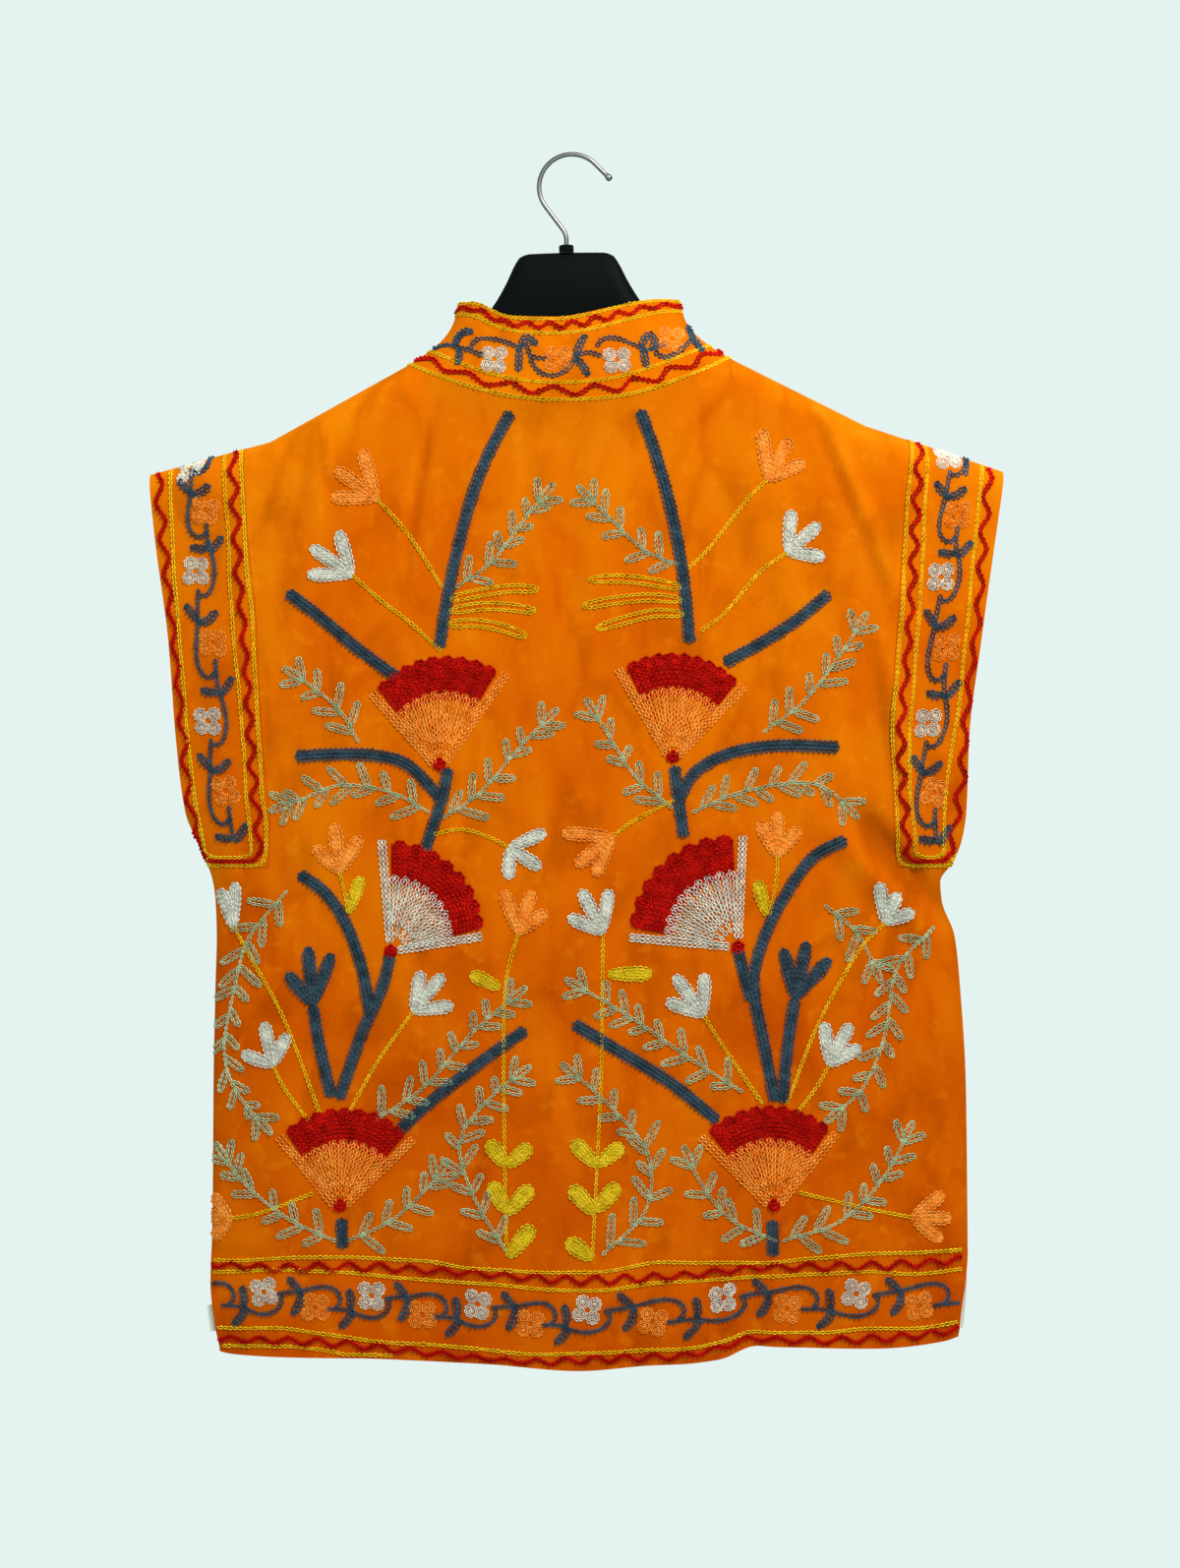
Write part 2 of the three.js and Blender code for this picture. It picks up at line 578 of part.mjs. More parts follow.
// A round wire along a curve: the tail, the arc, the shank, the bend and the stem. It begins with
// the tip's ball.
function hangerHook() {
  const inner = HOOK_RADIUS - HOOK_WIRE / 2;
  const centreZ = -Math.sqrt(inner ** 2 - HOOK_X ** 2);
  const onArc = (angle, out = 0) =>
    new THREE.Vector3(
      HOOK_X + HOOK_RADIUS * Math.cos(angle) + out * Math.sin(angle),
      0,
      centreZ + HOOK_RADIUS * Math.sin(angle) - out * Math.cos(angle),
    );
  const arc = [];
  const arcSteps = 24;
  for (let k = 0; k <= arcSteps; k++) arc.push(onArc(mix(HOOK_END, HOOK_LEFT, k / arcSteps)));
  const from = arc[arcSteps];
  const footX = HANGER_X - NECK_TOP * Math.sin(HANGER_TILT);
  const shank = new THREE.Vector3(-Math.sin(HOOK_LEFT), 0, Math.cos(HOOK_LEFT));
  const corner = from.clone().addScaledVector(shank, (footX - from.x) / shank.x);
  const bendStart = corner.clone().addScaledVector(shank, -HOOK_BEND);
  const bendEnd = new THREE.Vector3(footX, 0, corner.z - HOOK_BEND);
  const end = new THREE.Vector3(footX, 0, NECK_TOP + 2 * SEAM + FERRULE_HEIGHT);
  const path = new THREE.CurvePath();
  path.add(new THREE.LineCurve3(onArc(HOOK_END, HOOK_TAIL), arc[0]));
  path.add(new THREE.CatmullRomCurve3(arc));
  path.add(new THREE.LineCurve3(from, bendStart));
  path.add(new THREE.QuadraticBezierCurve3(bendStart, corner, bendEnd));
  path.add(new THREE.LineCurve3(bendEnd, end));
  const steps = 50;
  const points = path.getSpacedPoints(steps);
  return loft(
    points.map((p, k) => {
      const next = points[Math.min(k + 1, steps)];
      const along = next.clone().sub(points[Math.max(k - 1, 0)]).normalize();
      const across = new THREE.Vector3(along.z, 0, -along.x);
      const radius = k <= 1 ? HOOK_TIP_BALL : HOOK_WIRE / 2;
      return Array.from({ length: WIRE_SIDES }, (_, s) => {
        const angle = (2 * Math.PI * s) / WIRE_SIDES;
        const side = new THREE.Vector3(0, 1, 0).multiplyScalar(radius * Math.sin(angle));
        return p.clone().addScaledVector(across, radius * Math.cos(angle)).add(side);
      });
    }),
  );
}

// From the hanger's own frame to the part's.
function tilted(geometry) {
  return geometry.rotateY(-HANGER_TILT).translate(HANGER_X, 0, 0);
}

// A low collar round the hook's foot.
function ferrule() {
  const geometry = new THREE.CylinderGeometry(FERRULE_RADIUS, FERRULE_RADIUS, FERRULE_HEIGHT, 24);
  return geometry.rotateX(Math.PI / 2).translate(0, 0, NECK_TOP + SEAM + FERRULE_HEIGHT / 2);
}

// A small folded tab in the left side's vent, blank on both faces.
function label() {
  const geometry = new THREE.BoxGeometry(LABEL.out, LABEL.thick, LABEL.high, 4, 1, 3);
  return geometry.rotateY(LABEL.turn).translate(LABEL.x, LABEL.y, LABEL.z);
}

function mesh(name, geometry, look) {
  const made = new THREE.Mesh(geometry, new THREE.MeshStandardMaterial(COLOURS[look]));
  made.name = name;
  return made;
}

const part = new THREE.Group();
part.add(
  mesh("back", panel("back", ["left", "right"]), "velvet"),
  mesh("front_left", panel("front", ["left"]), "velvet"),
  mesh("front_right", panel("front", ["right"]), "velvet"),
  mesh("sleeve_left", sleeve("left"), "border"),
  mesh("sleeve_right", sleeve("right"), "border"),
  mesh("collar", collar(), "border"),
  mesh("hanger_body", tilted(hangerBody()), "plastic"),
  mesh("hanger_ferrule", tilted(ferrule()), "plastic"),
  mesh("hanger_hook", hangerHook(), "steel"),
  mesh("side_label", label(), "label"),
);
export default part;
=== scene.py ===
"""Finished looks for the velvet jacket on its hanger.

The jacket's back faces -Y and its left side is at -X. Sizes are in millimetres until a mesh is made.
The cloth is a thin velvet shell with a printed cotton lining. The flowers are chain stitch: every
link is modelled, in lines that are set out on a chart and then laid on the cloth.
"""
import json
import math

import bpy
import numpy as np
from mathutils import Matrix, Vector

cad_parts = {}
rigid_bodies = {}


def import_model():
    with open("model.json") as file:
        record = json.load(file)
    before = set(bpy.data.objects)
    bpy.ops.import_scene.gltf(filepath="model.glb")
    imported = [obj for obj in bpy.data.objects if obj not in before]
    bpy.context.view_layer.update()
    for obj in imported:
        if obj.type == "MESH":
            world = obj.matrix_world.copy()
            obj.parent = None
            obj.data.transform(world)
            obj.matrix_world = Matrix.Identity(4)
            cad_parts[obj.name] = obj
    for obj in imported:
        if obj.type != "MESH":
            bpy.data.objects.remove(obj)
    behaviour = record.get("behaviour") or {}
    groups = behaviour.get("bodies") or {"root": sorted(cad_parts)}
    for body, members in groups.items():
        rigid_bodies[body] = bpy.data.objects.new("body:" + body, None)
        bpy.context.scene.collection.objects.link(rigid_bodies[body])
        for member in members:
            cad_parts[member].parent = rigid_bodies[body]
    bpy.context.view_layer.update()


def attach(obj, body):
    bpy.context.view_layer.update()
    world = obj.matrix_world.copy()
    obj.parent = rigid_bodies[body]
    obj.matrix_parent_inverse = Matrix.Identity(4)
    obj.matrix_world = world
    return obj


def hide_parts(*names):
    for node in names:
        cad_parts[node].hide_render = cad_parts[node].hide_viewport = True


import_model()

MM = 0.001
SEED = 7
rng = np.random.default_rng(SEED)


# ---- tables of the cloth's form ------------------------------------------------------------------
def table(names, *rows):
    """Columns of a short table, by name."""
    return {name: np.array(column, float) for name, column in zip(names.split(), zip(*rows))}


SEAM = 0.3  # between walls that meet at a seam
SHELL = 2.2  # the wall of velvet and lining
ARM_WALL = 2.5  # the wall's room over the hanger's arms
UNDERARM = -541.0
SEAM_TOP = -227.0
CUFF_TOP = -243.0
HEM_READ = -900.0
SIDE_POWER = 8
SHOULDER_DEPTH_DROP = 20.0
NECK_DROP = 46.0
HANGER_X = -2.6
HANGER_TILT = math.radians(1.27)
ARM_SLOPE = math.radians(27.8)
ARM_APEX = -95.1
DROOP_FROM = 226.0
DROOP_LEFT = 0.27
DROOP_RIGHT = 0.33
FRONT_GAP = 3.0
FRONT_RISE = 2.0
VENT_TOP = -826.0
VENT_DROP = 60.0
VENT_INSET = 5.0
NECK_X = 1.0
NECK_HALF = 123.0
NECK_DEPTH = {"back": 28.0, "front": 26.0}
NECK_LOW = {"back": -190.5, "front": -244.0}
NECK_CURVE = 2.2
NECK_SQUARE = 4
COLLAR_WALL = 3.0
COLLAR_SEAM = 0.5
COLLAR_WAIST = 0.1
COLLAR_SWELL = 0.06

# Outline: side edges below the underarm, cuff edges above it.
OUTLINE = table(
    "z left right",
    (-906, -264, 300), (-888, -268, 303), (-856, -271.5, 305), (-781, -270.5, 304.5),
    (-706, -270, 303.5), (-631, -268.5, 299), (-594, -267.5, 295), (-566, -268.5, 285),
    (-552, -270.5, 284), (-537, -275.5, 294), (-519, -283, 300), (-500, -290, 302.5),
    (-444, -296.5, 304), (-369, -302, 313), (-294, -312, 323.5), (-243, -317.5, 331),
)
ARMHOLE = table(
    "z left right",
    (-912, -240, 262), (-700, -236, 257), (-541, -226, 249.5), (-508, -224.5, 246.5),
    (-472, -228, 245), (-436, -230.5, 243), (-392, -233, 246), (-350, -234.8, 249),
    (-290, -241, 252.5), (-227, -244.5, 258),
)
# Half depths of the cloth tube, and how it reaches its edge: 0.5 is a round fold, 1 a free edge.
DEPTH = table(
    "z middle edge turn",
    (-915, 21, 8, 1), (-870, 20, 6, 1), (-838, 19, 3.2, 0.9), (-826, 19, 0, 0.5),
    (-700, 18, 0, 0.5), (-548, 19, 0, 0.5), (-520, 19.5, 5, 0.85), (-470, 20, 11, 1),
    (-350, 22, 14, 1), (-240, 22, 13, 1), (-160, 22, 13, 1),
)
HEM = table(
    "x z",
    (-280, -905), (-255, -909.5), (-150, -911), (-60, -914.5), (10, -919.5), (60, -915.5),
    (115, -911), (145, -902), (235, -903.5), (285, -900), (300, -896),
)
COLLAR_TOP = table(
    "turn x y z",
    (-180, -4, 20, -186), (-150, -44, 19, -168), (-118, -76, 11, -131), (-90, -83, 0, -112),
    (-62, -70, -12, -113), (-30, -42, -18.5, -125), (0, -8, -20, -126), (30, 30, -18.5, -119),
    (62, 66, -12, -111), (90, 85, 0, -109.5), (118, 82, 11, -129), (150, 50, 19, -167),
    (180, 2, 20, -186),
)
# Creases: a soft ridge (height over 0) or trough along a bowed line from one point to another.
CREASES = {
    "back": table(
        "x0 z0 x1 z1 bow width height",
        (172, -172, 246, -352, -2, 4, -2.6), (183, -180, 257, -356, -2, 7, 3.4),
        (231, -376, 249, -483, 0, 5, -3), (241, -372, 257, -480, 0, 6, 2),
        (196, -508, 296, -606, 4, 11, 6), (222, -500, 284, -566, 4, 9, -7),
        (-204, -210, -230, -296, 3, 4, -1.8), (-195, -220, -201, -276, 0, 4, -1.4),
        (-98, -196, -119, -322, 3, 4, -1.9), (-107, -200, -127, -318, 3, 6, 1.6),
        (-180, -222, -190, -300, 0, 8, 2), (-150, -215, -168, -300, 0, 12, 2.5),
        (96, -850, 84, -930, 0, 24, 5), (146, -820, 132, -930, 0, 15, -7),
        (-20, -640, -10, -930, 0, 50, 3.5), (-140, -700, -150, -930, 0, 30, -3),
        (262, -545, 236, -640, 3, 5, -2.2), (276, -548, 262, -610, 2, 4, 1.8),
        (-262, -546, -246, -590, -2, 5, -2.4), (-250, -548, -226, -640, 4, 7, 1.8),
        (120, -232, 150, -330, 6, 9, -1.6), (206, -430, 216, -500, 0, 9, 1.8),
        (60, -560, 74, -760, 5, 16, -1.2), (-80, -600, -60, -800, -4, 18, 1.2),
        (170, -700, 178, -900, 4, 14, -1.8), (-210, -640, -222, -880, 3, 14, 1.5),
        (10, -206, 6, -420, 0, 7, -0.8), (215, -640, 228, -860, -5, 12, 1.6),
    ),
    "front": table(
        "x0 z0 x1 z1 bow width height",
        (-150, -215, -120, -520, 8, 18, -4), (150, -205, 118, -500, -8, 18, -4),
        (-205, -560, -160, -920, 0, 24, 4), (215, -540, 170, -920, 0, 24, 4),
        (-90, -480, -100, -925, 0, 26, -4), (100, -480, 96, -925, 0, 26, -4),
        (-262, -548, -200, -640, -5, 7, -2.4), (270, -548, 205, -650, 5, 7, -2.6),
        (-190, -220, -214, -360, 5, 10, -2), (196, -214, 222, -350, -6, 10, -2.2),
        (-30, -300, -44, -560, 4, 12, 1.4), (40, -330, 56, -640, -5, 12, 1.4),
    ),
}


def mix(a, b, t):
    return a + (b - a) * t


def smooth(v):
    t = np.clip(v, 0, 1)
    return t * t * (3 - 2 * t)


def unit(vectors):
    """Vectors with the same directions and a length of 1."""
    return vectors / np.maximum(np.linalg.norm(vectors, axis=-1, keepdims=True), 1e-9)


def read(columns, at, of, v):
    """Column `of` at the values v of column `at`, by a cubic that adds no overshoot."""
    x = columns[at]
    y = columns[of]
    slope = np.diff(y) / np.diff(x)
    tangent = np.concatenate([slope[:1], np.zeros(len(x) - 2), slope[-1:]])
    before = slope[:-1]
    after = slope[1:]
    same = before * after > 0
    inner = np.zeros(len(x) - 2)
    inner[same] = 2 * before[same] * after[same] / (before[same] + after[same])
    tangent[1:-1] = inner
    v = np.clip(v, x[0], x[-1])
    i = np.clip(np.searchsorted(x, v, side="right") - 1, 0, len(x) - 2)
    step = x[i + 1] - x[i]
    t = (v - x[i]) / step
    bend = step * t * (1 - t) * ((1 - t) * tangent[i] - t * tangent[i + 1])
    return mix(y[i], y[i + 1], smooth(t)) + bend


# ---- the cloth's surface -------------------------------------------------------------------------
def arm_top(x):
    """The top edge of the hanger's arms."""
    apex_x = HANGER_X - ARM_APEX * math.sin(HANGER_TILT)
    run = x - apex_x
    return ARM_APEX * math.cos(HANGER_TILT) + run * np.tan(HANGER_TILT - np.sign(run) * ARM_SLOPE)


def shoulder(x):
    """The shoulder line: on the arms, then drooping past their tips."""
    droop = np.where(x < 0, DROOP_LEFT, DROOP_RIGHT)
    past = np.maximum(0, np.abs(x) - DROOP_FROM)
    held = np.clip(x, -DROOP_FROM, DROOP_FROM)
    return arm_top(held) + SEAM + ARM_WALL - droop * past


def neck_share(x):
    return np.abs(x - NECK_X) / NECK_HALF


def top_edge(x, side):
    """Height of a panel's top edge: the neckline between the neck points, else the shoulder."""
    share = np.minimum(neck_share(x), 1)
    point = shoulder(NECK_X + np.sign(x - NECK_X) * NECK_HALF)
    return np.where(neck_share(x) >= 1, shoulder(x), mix(NECK_LOW[side], point, share**NECK_CURVE))


def neck_depth(x, side):
    share = np.minimum(neck_share(x), 1)
    return NECK_DEPTH[side] * np.sqrt(1 - share**NECK_SQUARE)


def top_drop(x, side):
    return mix(SHOULDER_DEPTH_DROP, NECK_DROP, neck_depth(x, side) / NECK_DEPTH["back"])


def outline(z, side):
    """Middle and half width at height z."""
    left = read(OUTLINE, "z", "left", z)
    inset = VENT_INSET * smooth((VENT_TOP - z) / VENT_DROP) if side == "back" else 0
    right = read(OUTLINE, "z", "right", z) - inset
    return (left + right) / 2, (right - left) / 2


def crease_height(x, z, side, widest=100):
    total = np.zeros(np.broadcast(x, z).shape)
    for x0, z0, x1, z1, bow, width, height in zip(*CREASES[side].values()):
        if width > widest:
            continue
        dx = x1 - x0
        dz = z1 - z0
        long = math.hypot(dx, dz)
        along = ((x - x0) * dx + (z - z0) * dz) / long**2
        t = np.clip(along, 0, 1)
        across = ((x - x0) * dz - (z - z0) * dx) / long - bow * 4 * t * (1 - t)
        past = (along - t) * long
        # Highest at its middle, and low but not gone at its ends.
        fade = np.sin(np.pi * (0.08 + 0.84 * t)) ** 0.7
        total += height * fade * np.exp(-((across / width) ** 2) - (past / (2 * width)) ** 2)
    return total


def half_depth(x, z, rise, side, x_top):
    """Half depth of the outer surface. rise runs from 0 to 1 over the top drop."""
    middle_x, half = outline(z, side)
    share = np.minimum(1, np.abs(x - middle_x) / half)
    edge = read(DEPTH, "z", "edge", z)
    turn = read(DEPTH, "z", "turn", z)
    middle = read(DEPTH, "z", "middle", z)
    flat = edge + (middle - edge) * (1 - share**SIDE_POWER) ** turn
    held = 1 - rise * rise
    neck = neck_depth(x_top, side)
    # Creases fade out at the side edges and over the top.
    fade = smooth((1 - share) / 0.1) * smooth(held / 0.6)
    power = mix(0.5, 1, neck / NECK_DEPTH["back"])
    return neck + (flat - neck) * held**power + crease_height(x, z, side) * fade


SIGN = {"back": -1, "front": 1}
HIGHEST_RISE = 0.995  # above it the surface turns too steeply for a slope
SLOPE_STEP = 0.5


def centre_x(z):
    halfway = (read(ARMHOLE, "z", "left", z) + read(ARMHOLE, "z", "right", z)) / 2
    return mix(NECK_X, halfway, smooth((NECK_LOW["front"] - z) / 300))


def column_x(q, z, side):
    """x of a column at height z. q is -2 at the left edge, -1 at the left armhole seam, 0 at the
    centre, 1 at the right seam and 2 at the right edge."""
    left = q < 0
    sign = np.where(left, -1.0, 1.0)
    seam = np.where(left, read(ARMHOLE, "z", "left", z), read(ARMHOLE, "z", "right", z))
    gap = np.where(np.abs(q) <= 1, -SEAM / 2, 0.0)
    centre = centre_x(z) + (sign * FRONT_GAP / 2 if side == "front" else 0)
    inner = mix(seam + sign * gap, centre, np.clip(1 - np.abs(q), 0, 1))
    middle, half = outline(z, side)
    seam_share = np.abs(seam - middle) / half
    turn = read(DEPTH, "z", "turn", z)
    way = np.clip(np.abs(q) - 1, 0, 1)
    rest = (1 - seam_share**SIDE_POWER) * (1 - way) ** (1 / turn)
    outer = middle + sign * half * (1 - rest) ** (1 / SIDE_POWER)
    return np.where(np.abs(q) <= 1, inner, outer)


def cloth_point(q, row, side, sleeve=False):
    """A point of the outer surface: rows run from the hem (0) to the underarm (1), from there to
    the top drop (2) and over it (3)."""
    shift = np.where(q < 0, -1, 1) * SEAM / 2 * (2 - np.abs(q)) if sleeve else 0
    x_top = column_x(q, np.full(q.shape, CUFF_TOP if sleeve else SEAM_TOP), side) + shift
    high = shoulder(x_top) if sleeve else top_edge(x_top, side)
    drop = top_drop(x_top, side)
    hem_x = column_x(q, np.full(q.shape, HEM_READ), side)
    hem = read(HEM, "x", "z", hem_x) + (FRONT_RISE if side == "front" else 0)
    rise = np.sin(np.clip(row - 2, 0, 1) * math.pi / 2)
    low_z = mix(hem, UNDERARM - SEAM / 2, row)
    high_z = mix(UNDERARM + SEAM / 2, high - drop, row - 1)
    z = np.where(row <= 1, low_z, np.where(row <= 2, high_z, high - drop + drop * rise))
    if sleeve:
        z = np.where(row <= 2, high_z, z)
    x = column_x(q, z, side) + shift
    y = SIGN[side] * (SEAM / 2 + half_depth(x, z, rise, side, x_top))
    return np.stack([x, y, z], -1)


def field(points, side):
    """Points and normals of the outer surface over flat points (x, z)."""
    def at(x, z):
        high = top_edge(x, side)
        drop = top_drop(x, side)
        rise = np.clip((z - high + drop) / drop, 0, HIGHEST_RISE)
        return SIGN[side] * (SEAM / 2 + half_depth(x, z, rise, side, x))

    x = points[:, 0]
    z = points[:, 1]
    y = at(x, z)
    slope_x = (at(x + SLOPE_STEP, z) - at(x - SLOPE_STEP, z)) / (2 * SLOPE_STEP)
    slope_z = (at(x, z + SLOPE_STEP) - at(x, z - SLOPE_STEP)) / (2 * SLOPE_STEP)
    normal = np.stack([-slope_x, np.ones_like(x), -slope_z], 1) * SIGN[side]
    return np.stack([x, y, z], 1), unit(normal)


def collar_point(turn, up):
    """The collar's outer surface. turn is in degrees, 0 at the centre back; up is 0 at the base."""
    angle = np.radians(turn)
    back = np.abs(turn) <= 90
    x = NECK_X + NECK_HALF * np.sin(angle)
    y = np.where(back, -neck_depth(x, "back"), neck_depth(x, "front"))
    z = np.where(back, top_edge(x, "back"), top_edge(x, "front")) + COLLAR_SEAM
    x, y, z = (
        mix(base, read(COLLAR_TOP, "turn", axis, turn), up) for base, axis in zip((x, y, z), "xyz")
    )
    arch = np.sin(np.pi * up)
    x = NECK_X + (x - NECK_X) * (1 - COLLAR_WAIST * arch)
    return np.stack([x, y * (1 + COLLAR_SWELL * arch), z], -1)


# ---- materials -----------------------------------------------------------------------------------
SHADE = 0.72  # a surface's own colour is darker than the one that it shows under these lights


def linear(red, green, blue):
    """An sRGB colour from 0 to 255, as linear light."""
    def one(v):
        v = v / 255
        return v / 12.92 if v <= 0.04045 else ((v + 0.055) / 1.055) ** 2.4

    return one(red), one(green), one(blue)


def paint(red, green, blue):
    """A surface's own colour, from the sRGB colour that it shows."""
    return tuple(SHADE * v for v in linear(red, green, blue))


class Look:
    """A material in the making: its shader, and the nodes that feed it."""

    def __init__(self, name, colour, roughness, metallic=0.0):
        self.material = bpy.data.materials.new(name)
        self.material.use_nodes = True
        self.tree = self.material.node_tree
        self.shader = self.tree.nodes["Principled BSDF"]
        self.set({"Base Color": (*colour, 1), "Roughness": roughness, "Metallic": metallic})

    def feed(self, made, inputs):
        """Give a node's inputs their values, or join them to other nodes' sockets."""
        for key, value in inputs.items():
            if isinstance(value, bpy.types.NodeSocket):
                self.tree.links.new(value, made.inputs[key])
            else:
                made.inputs[key].default_value = value

    def set(self, inputs):
        self.feed(self.shader, inputs)

    def node(self, kind, inputs, **settings):
        """A node's outputs, from its inputs and settings."""
        made = self.tree.nodes.new(kind)
        for key, value in settings.items():
            setattr(made, key, value)
        self.feed(made, inputs)
        return made.outputs

    def place(self):
        """The object's own coordinates."""
        return self.node("ShaderNodeTexCoord", {})["Object"]

    def stored(self, name):
        """A number that the mesh stores at its points."""
        return self.node("ShaderNodeAttribute", {}, attribute_name=name)["Fac"]

    def noise(self, scale, detail, stretch=(1, 1, 1), distortion=0.0):
        mapped = self.node("ShaderNodeMapping", {"Vector": self.place(), "Scale": stretch})["Vector"]
        return self.node("ShaderNodeTexNoise", {
            "Vector": mapped, "Scale": scale, "Detail": detail, "Distortion": distortion,
        })["Fac"]

    def ramp(self, source, *stops):
        """A colour ramp from stops: a position, and a colour or a grey."""
        made = self.tree.nodes.new("ShaderNodeValToRGB")
        elements = made.color_ramp.elements
        while len(elements) < len(stops):
            elements.new(0.5)
        for element, (position, colour) in zip(elements, stops):
            element.position = position
            element.color = (*(colour * np.ones(3)), 1)
        self.feed(made, {"Fac": source})
        return made.outputs["Color"]

    def blend(self, kind, factor, a, b):
        """Colour b mixed into colour a. The mix node's sockets for colours come after the others of
        the same names, so they are found by their numbers."""
        return self.node("ShaderNodeMix", {0: factor, 6: a, 7: b}, data_type="RGBA", blend_type=kind)[2]

    def bump(self, source, strength, distance):
        return self.node("ShaderNodeBump", {
            "Height": source, "Strength": strength, "Distance": distance,
        })["Normal"]


def velvet_material(name):
    """Short orange pile, redder or paler in random patches, with small crush marks and a warm sheen at
    its edges. Painted light: paler and yellower towards the top and redder and darker towards the
    bottom, a painted highlight on the creases' ridges and along the shoulders, and painted shade in
    their troughs."""
    middle = paint(205, 90, 1)
    look = Look(name, middle, 0.85)
    split = look.node("ShaderNodeSeparateXYZ", {"Vector": look.place()})
    # Painted light: by its height the pile is drawn paler and yellower towards the top and redder and
    # darker towards the bottom, added to the random patches.
    height = look.node("ShaderNodeMapRange", {"Value": split["Z"], "From Min": -0.95, "From Max": -0.2})
    patches = look.noise(9.0, 4.0, (1, 1, 0.7), 0.9)
    terms = {0: height["Result"], 1: 0.5, 2: patches}
    lie = look.node("ShaderNodeMath", terms, operation="MULTIPLY_ADD")
    broad = look.ramp(lie["Value"], (0.5, paint(190, 74, 1)), (0.76, middle), (1, paint(212, 105, 2)))
    streaks = look.noise(34.0, 6.0, (1, 1, 0.55), 0.6)
    fine = look.ramp(streaks, (0.3, (0.76, 0.7, 0.65)), (0.5, 1), (0.68, (1.02, 1.2, 2.0)))
    crushed = look.ramp(look.noise(75.0, 5.0, distortion=0.4), (0.57, 0), (0.8, 0.34))
    # Painted shade in the creases' troughs, and a painted highlight on their ridges and along the
    # shoulders' edges.
    painted_fold_tone = look.ramp(
        look.stored("fold"), (0, (0.5, 0.42, 0.4)), (0.36, (0.86, 0.82, 0.82)), (0.5, 1),
        (0.7, (1.1, 1.18, 1.3)), (1, (1.22, 1.5, 4)),
    )
    nap_and_painted_light = look.blend("MULTIPLY", 0.85, broad, fine)
    marked = look.blend("MIX", crushed, nap_and_painted_light, (*paint(236, 134, 14), 1))
    look.set({
        "Base Color": look.blend("MULTIPLY", 1.0, marked, painted_fold_tone),
        "Sheen Weight": 0.3, "Sheen Roughness": 0.35, "Sheen Tint": (1, 0.42, 0.03, 1),
        "Specular IOR Level": 0.0,
        "Normal": look.bump(look.noise(260.0, 3.0), 0.3, 0.0008),
    })
    return look.material


def lining_material():
    """Off-white cotton with a small dark red and black print."""
    cotton = paint(236, 232, 216)
    look = Look("lining", cotton, 0.85)
    cells = look.node("ShaderNodeTexVoronoi", {
        "Vector": look.place(), "Scale": 55.0, "Randomness": 0.25,
    })
    dots = look.ramp(cells["Distance"], (0, 0), (0.2, 0), (0.24, 1), (1, 1))
    ink = look.ramp(cells["Color"], (0.45, linear(120, 20, 18)), (0.55, linear(30, 28, 30)))
    look.set({"Base Color": look.blend("MIX", dots, ink, (*cotton, 1))})
    return look.material


def thread_material(name, colour, other):
    """Wool or cotton thread: two tones at random, painted shade where a strand sinks into the cloth,
    and the twist as bump."""
    colour = linear(*colour)
    look = Look(f"{name}_thread", colour, 0.85)
    tone = look.ramp(look.noise(130.0, 2.0), (0.35, linear(*other)), (0.62, colour))
    # Painted shade: darker where a strand sinks into the cloth and on the threads under the stitches, from
    # the stored shade.
    depth = look.ramp(look.stored("shade"), (0, 0.3), (0.45, 0.75), (0.85, 1))
    look.set({
        "Base Color": look.blend("MULTIPLY", 1.0, tone, depth),
        "Sheen Weight": 0.1, "Sheen Roughness": 0.5, "Sheen Tint": (*colour, 1),
        "Specular IOR Level": 0.04,
        "Normal": look.bump(look.noise(900.0, 2.0), 0.4, 0.0004),
    })
    return look.material


def plastic_material():
    """Black moulded plastic with a fine grain."""
    look = Look("hanger_plastic", linear(6, 9, 10), 0.5)
    look.set({"Specular IOR Level": 0.02, "Normal": look.bump(look.noise(500.0, 3.0), 0.2, 0.0002)})
    return look.material


def steel_material():
    """Plated wire with a painted reflection: bright where it faces the eye, dark where it turns away."""
    look = Look("hook_steel", linear(150, 150, 146), 0.3, 1.0)
    # Painted reflection: the colour turns from bright to dark as the wire turns away from the eye.
    facing = look.node("ShaderNodeLayerWeight", {"Blend": 0.5})["Facing"]
    painted_reflection = look.ramp(
        facing, (0, linear(138, 138, 134)), (0.25, linear(84, 84, 81)), (0.55, linear(34, 34, 33))
    )
    marks = look.ramp(look.noise(300.0, 3.0, (1, 1, 0.3)), (0.35, 0.8), (0.65, 1))
    look.set({"Base Color": look.blend("MULTIPLY", 1.0, painted_reflection, marks)})
    return look.material


def tape_material():
    """Pale woven tape."""
    look = Look("label_tape", paint(216, 220, 206), 0.9)
    weave = look.noise(700.0, 2.0, (1, 1, 0.3))
    look.set({
        "Base Color": look.ramp(weave, (0.3, paint(196, 200, 186)), (0.7, paint(222, 226, 212))),
        "Normal": look.bump(weave, 0.3, 0.0002),
    })
    return look.material


VELVET = velvet_material("velvet")
BORDER_VELVET = velvet_material("border_velvet")
LINING = lining_material()
THREADS = {
    name: thread_material(name, colour, other)
    for name, colour, other in (
        ("blue", (62, 84, 98), (43, 61, 72)),
        ("white", (224, 222, 206), (194, 190, 176)),
        ("orange", (255, 158, 62), (244, 132, 36)),
        ("red", (194, 18, 8), (162, 9, 4)),
        ("yellow", (244, 202, 34), (226, 174, 14)),
        ("leaf", (236, 200, 38), (210, 172, 18)),
        ("sage", (196, 210, 166), (160, 174, 132)),
    )
}
PLASTIC = plastic_material()
STEEL = steel_material()
TAPE = tape_material()


# ---- meshes --------------------------------------------------------------------------------------
def add_object(name, data):
    made = bpy.data.objects.new(name, data)
    bpy.context.scene.collection.objects.link(made)
    return made


def store(made, name, values):
    """Store a number at each point of a mesh."""
    attribute = made.data.attributes.new(name, "FLOAT", "POINT")
    attribute.data.foreach_set("value", values)


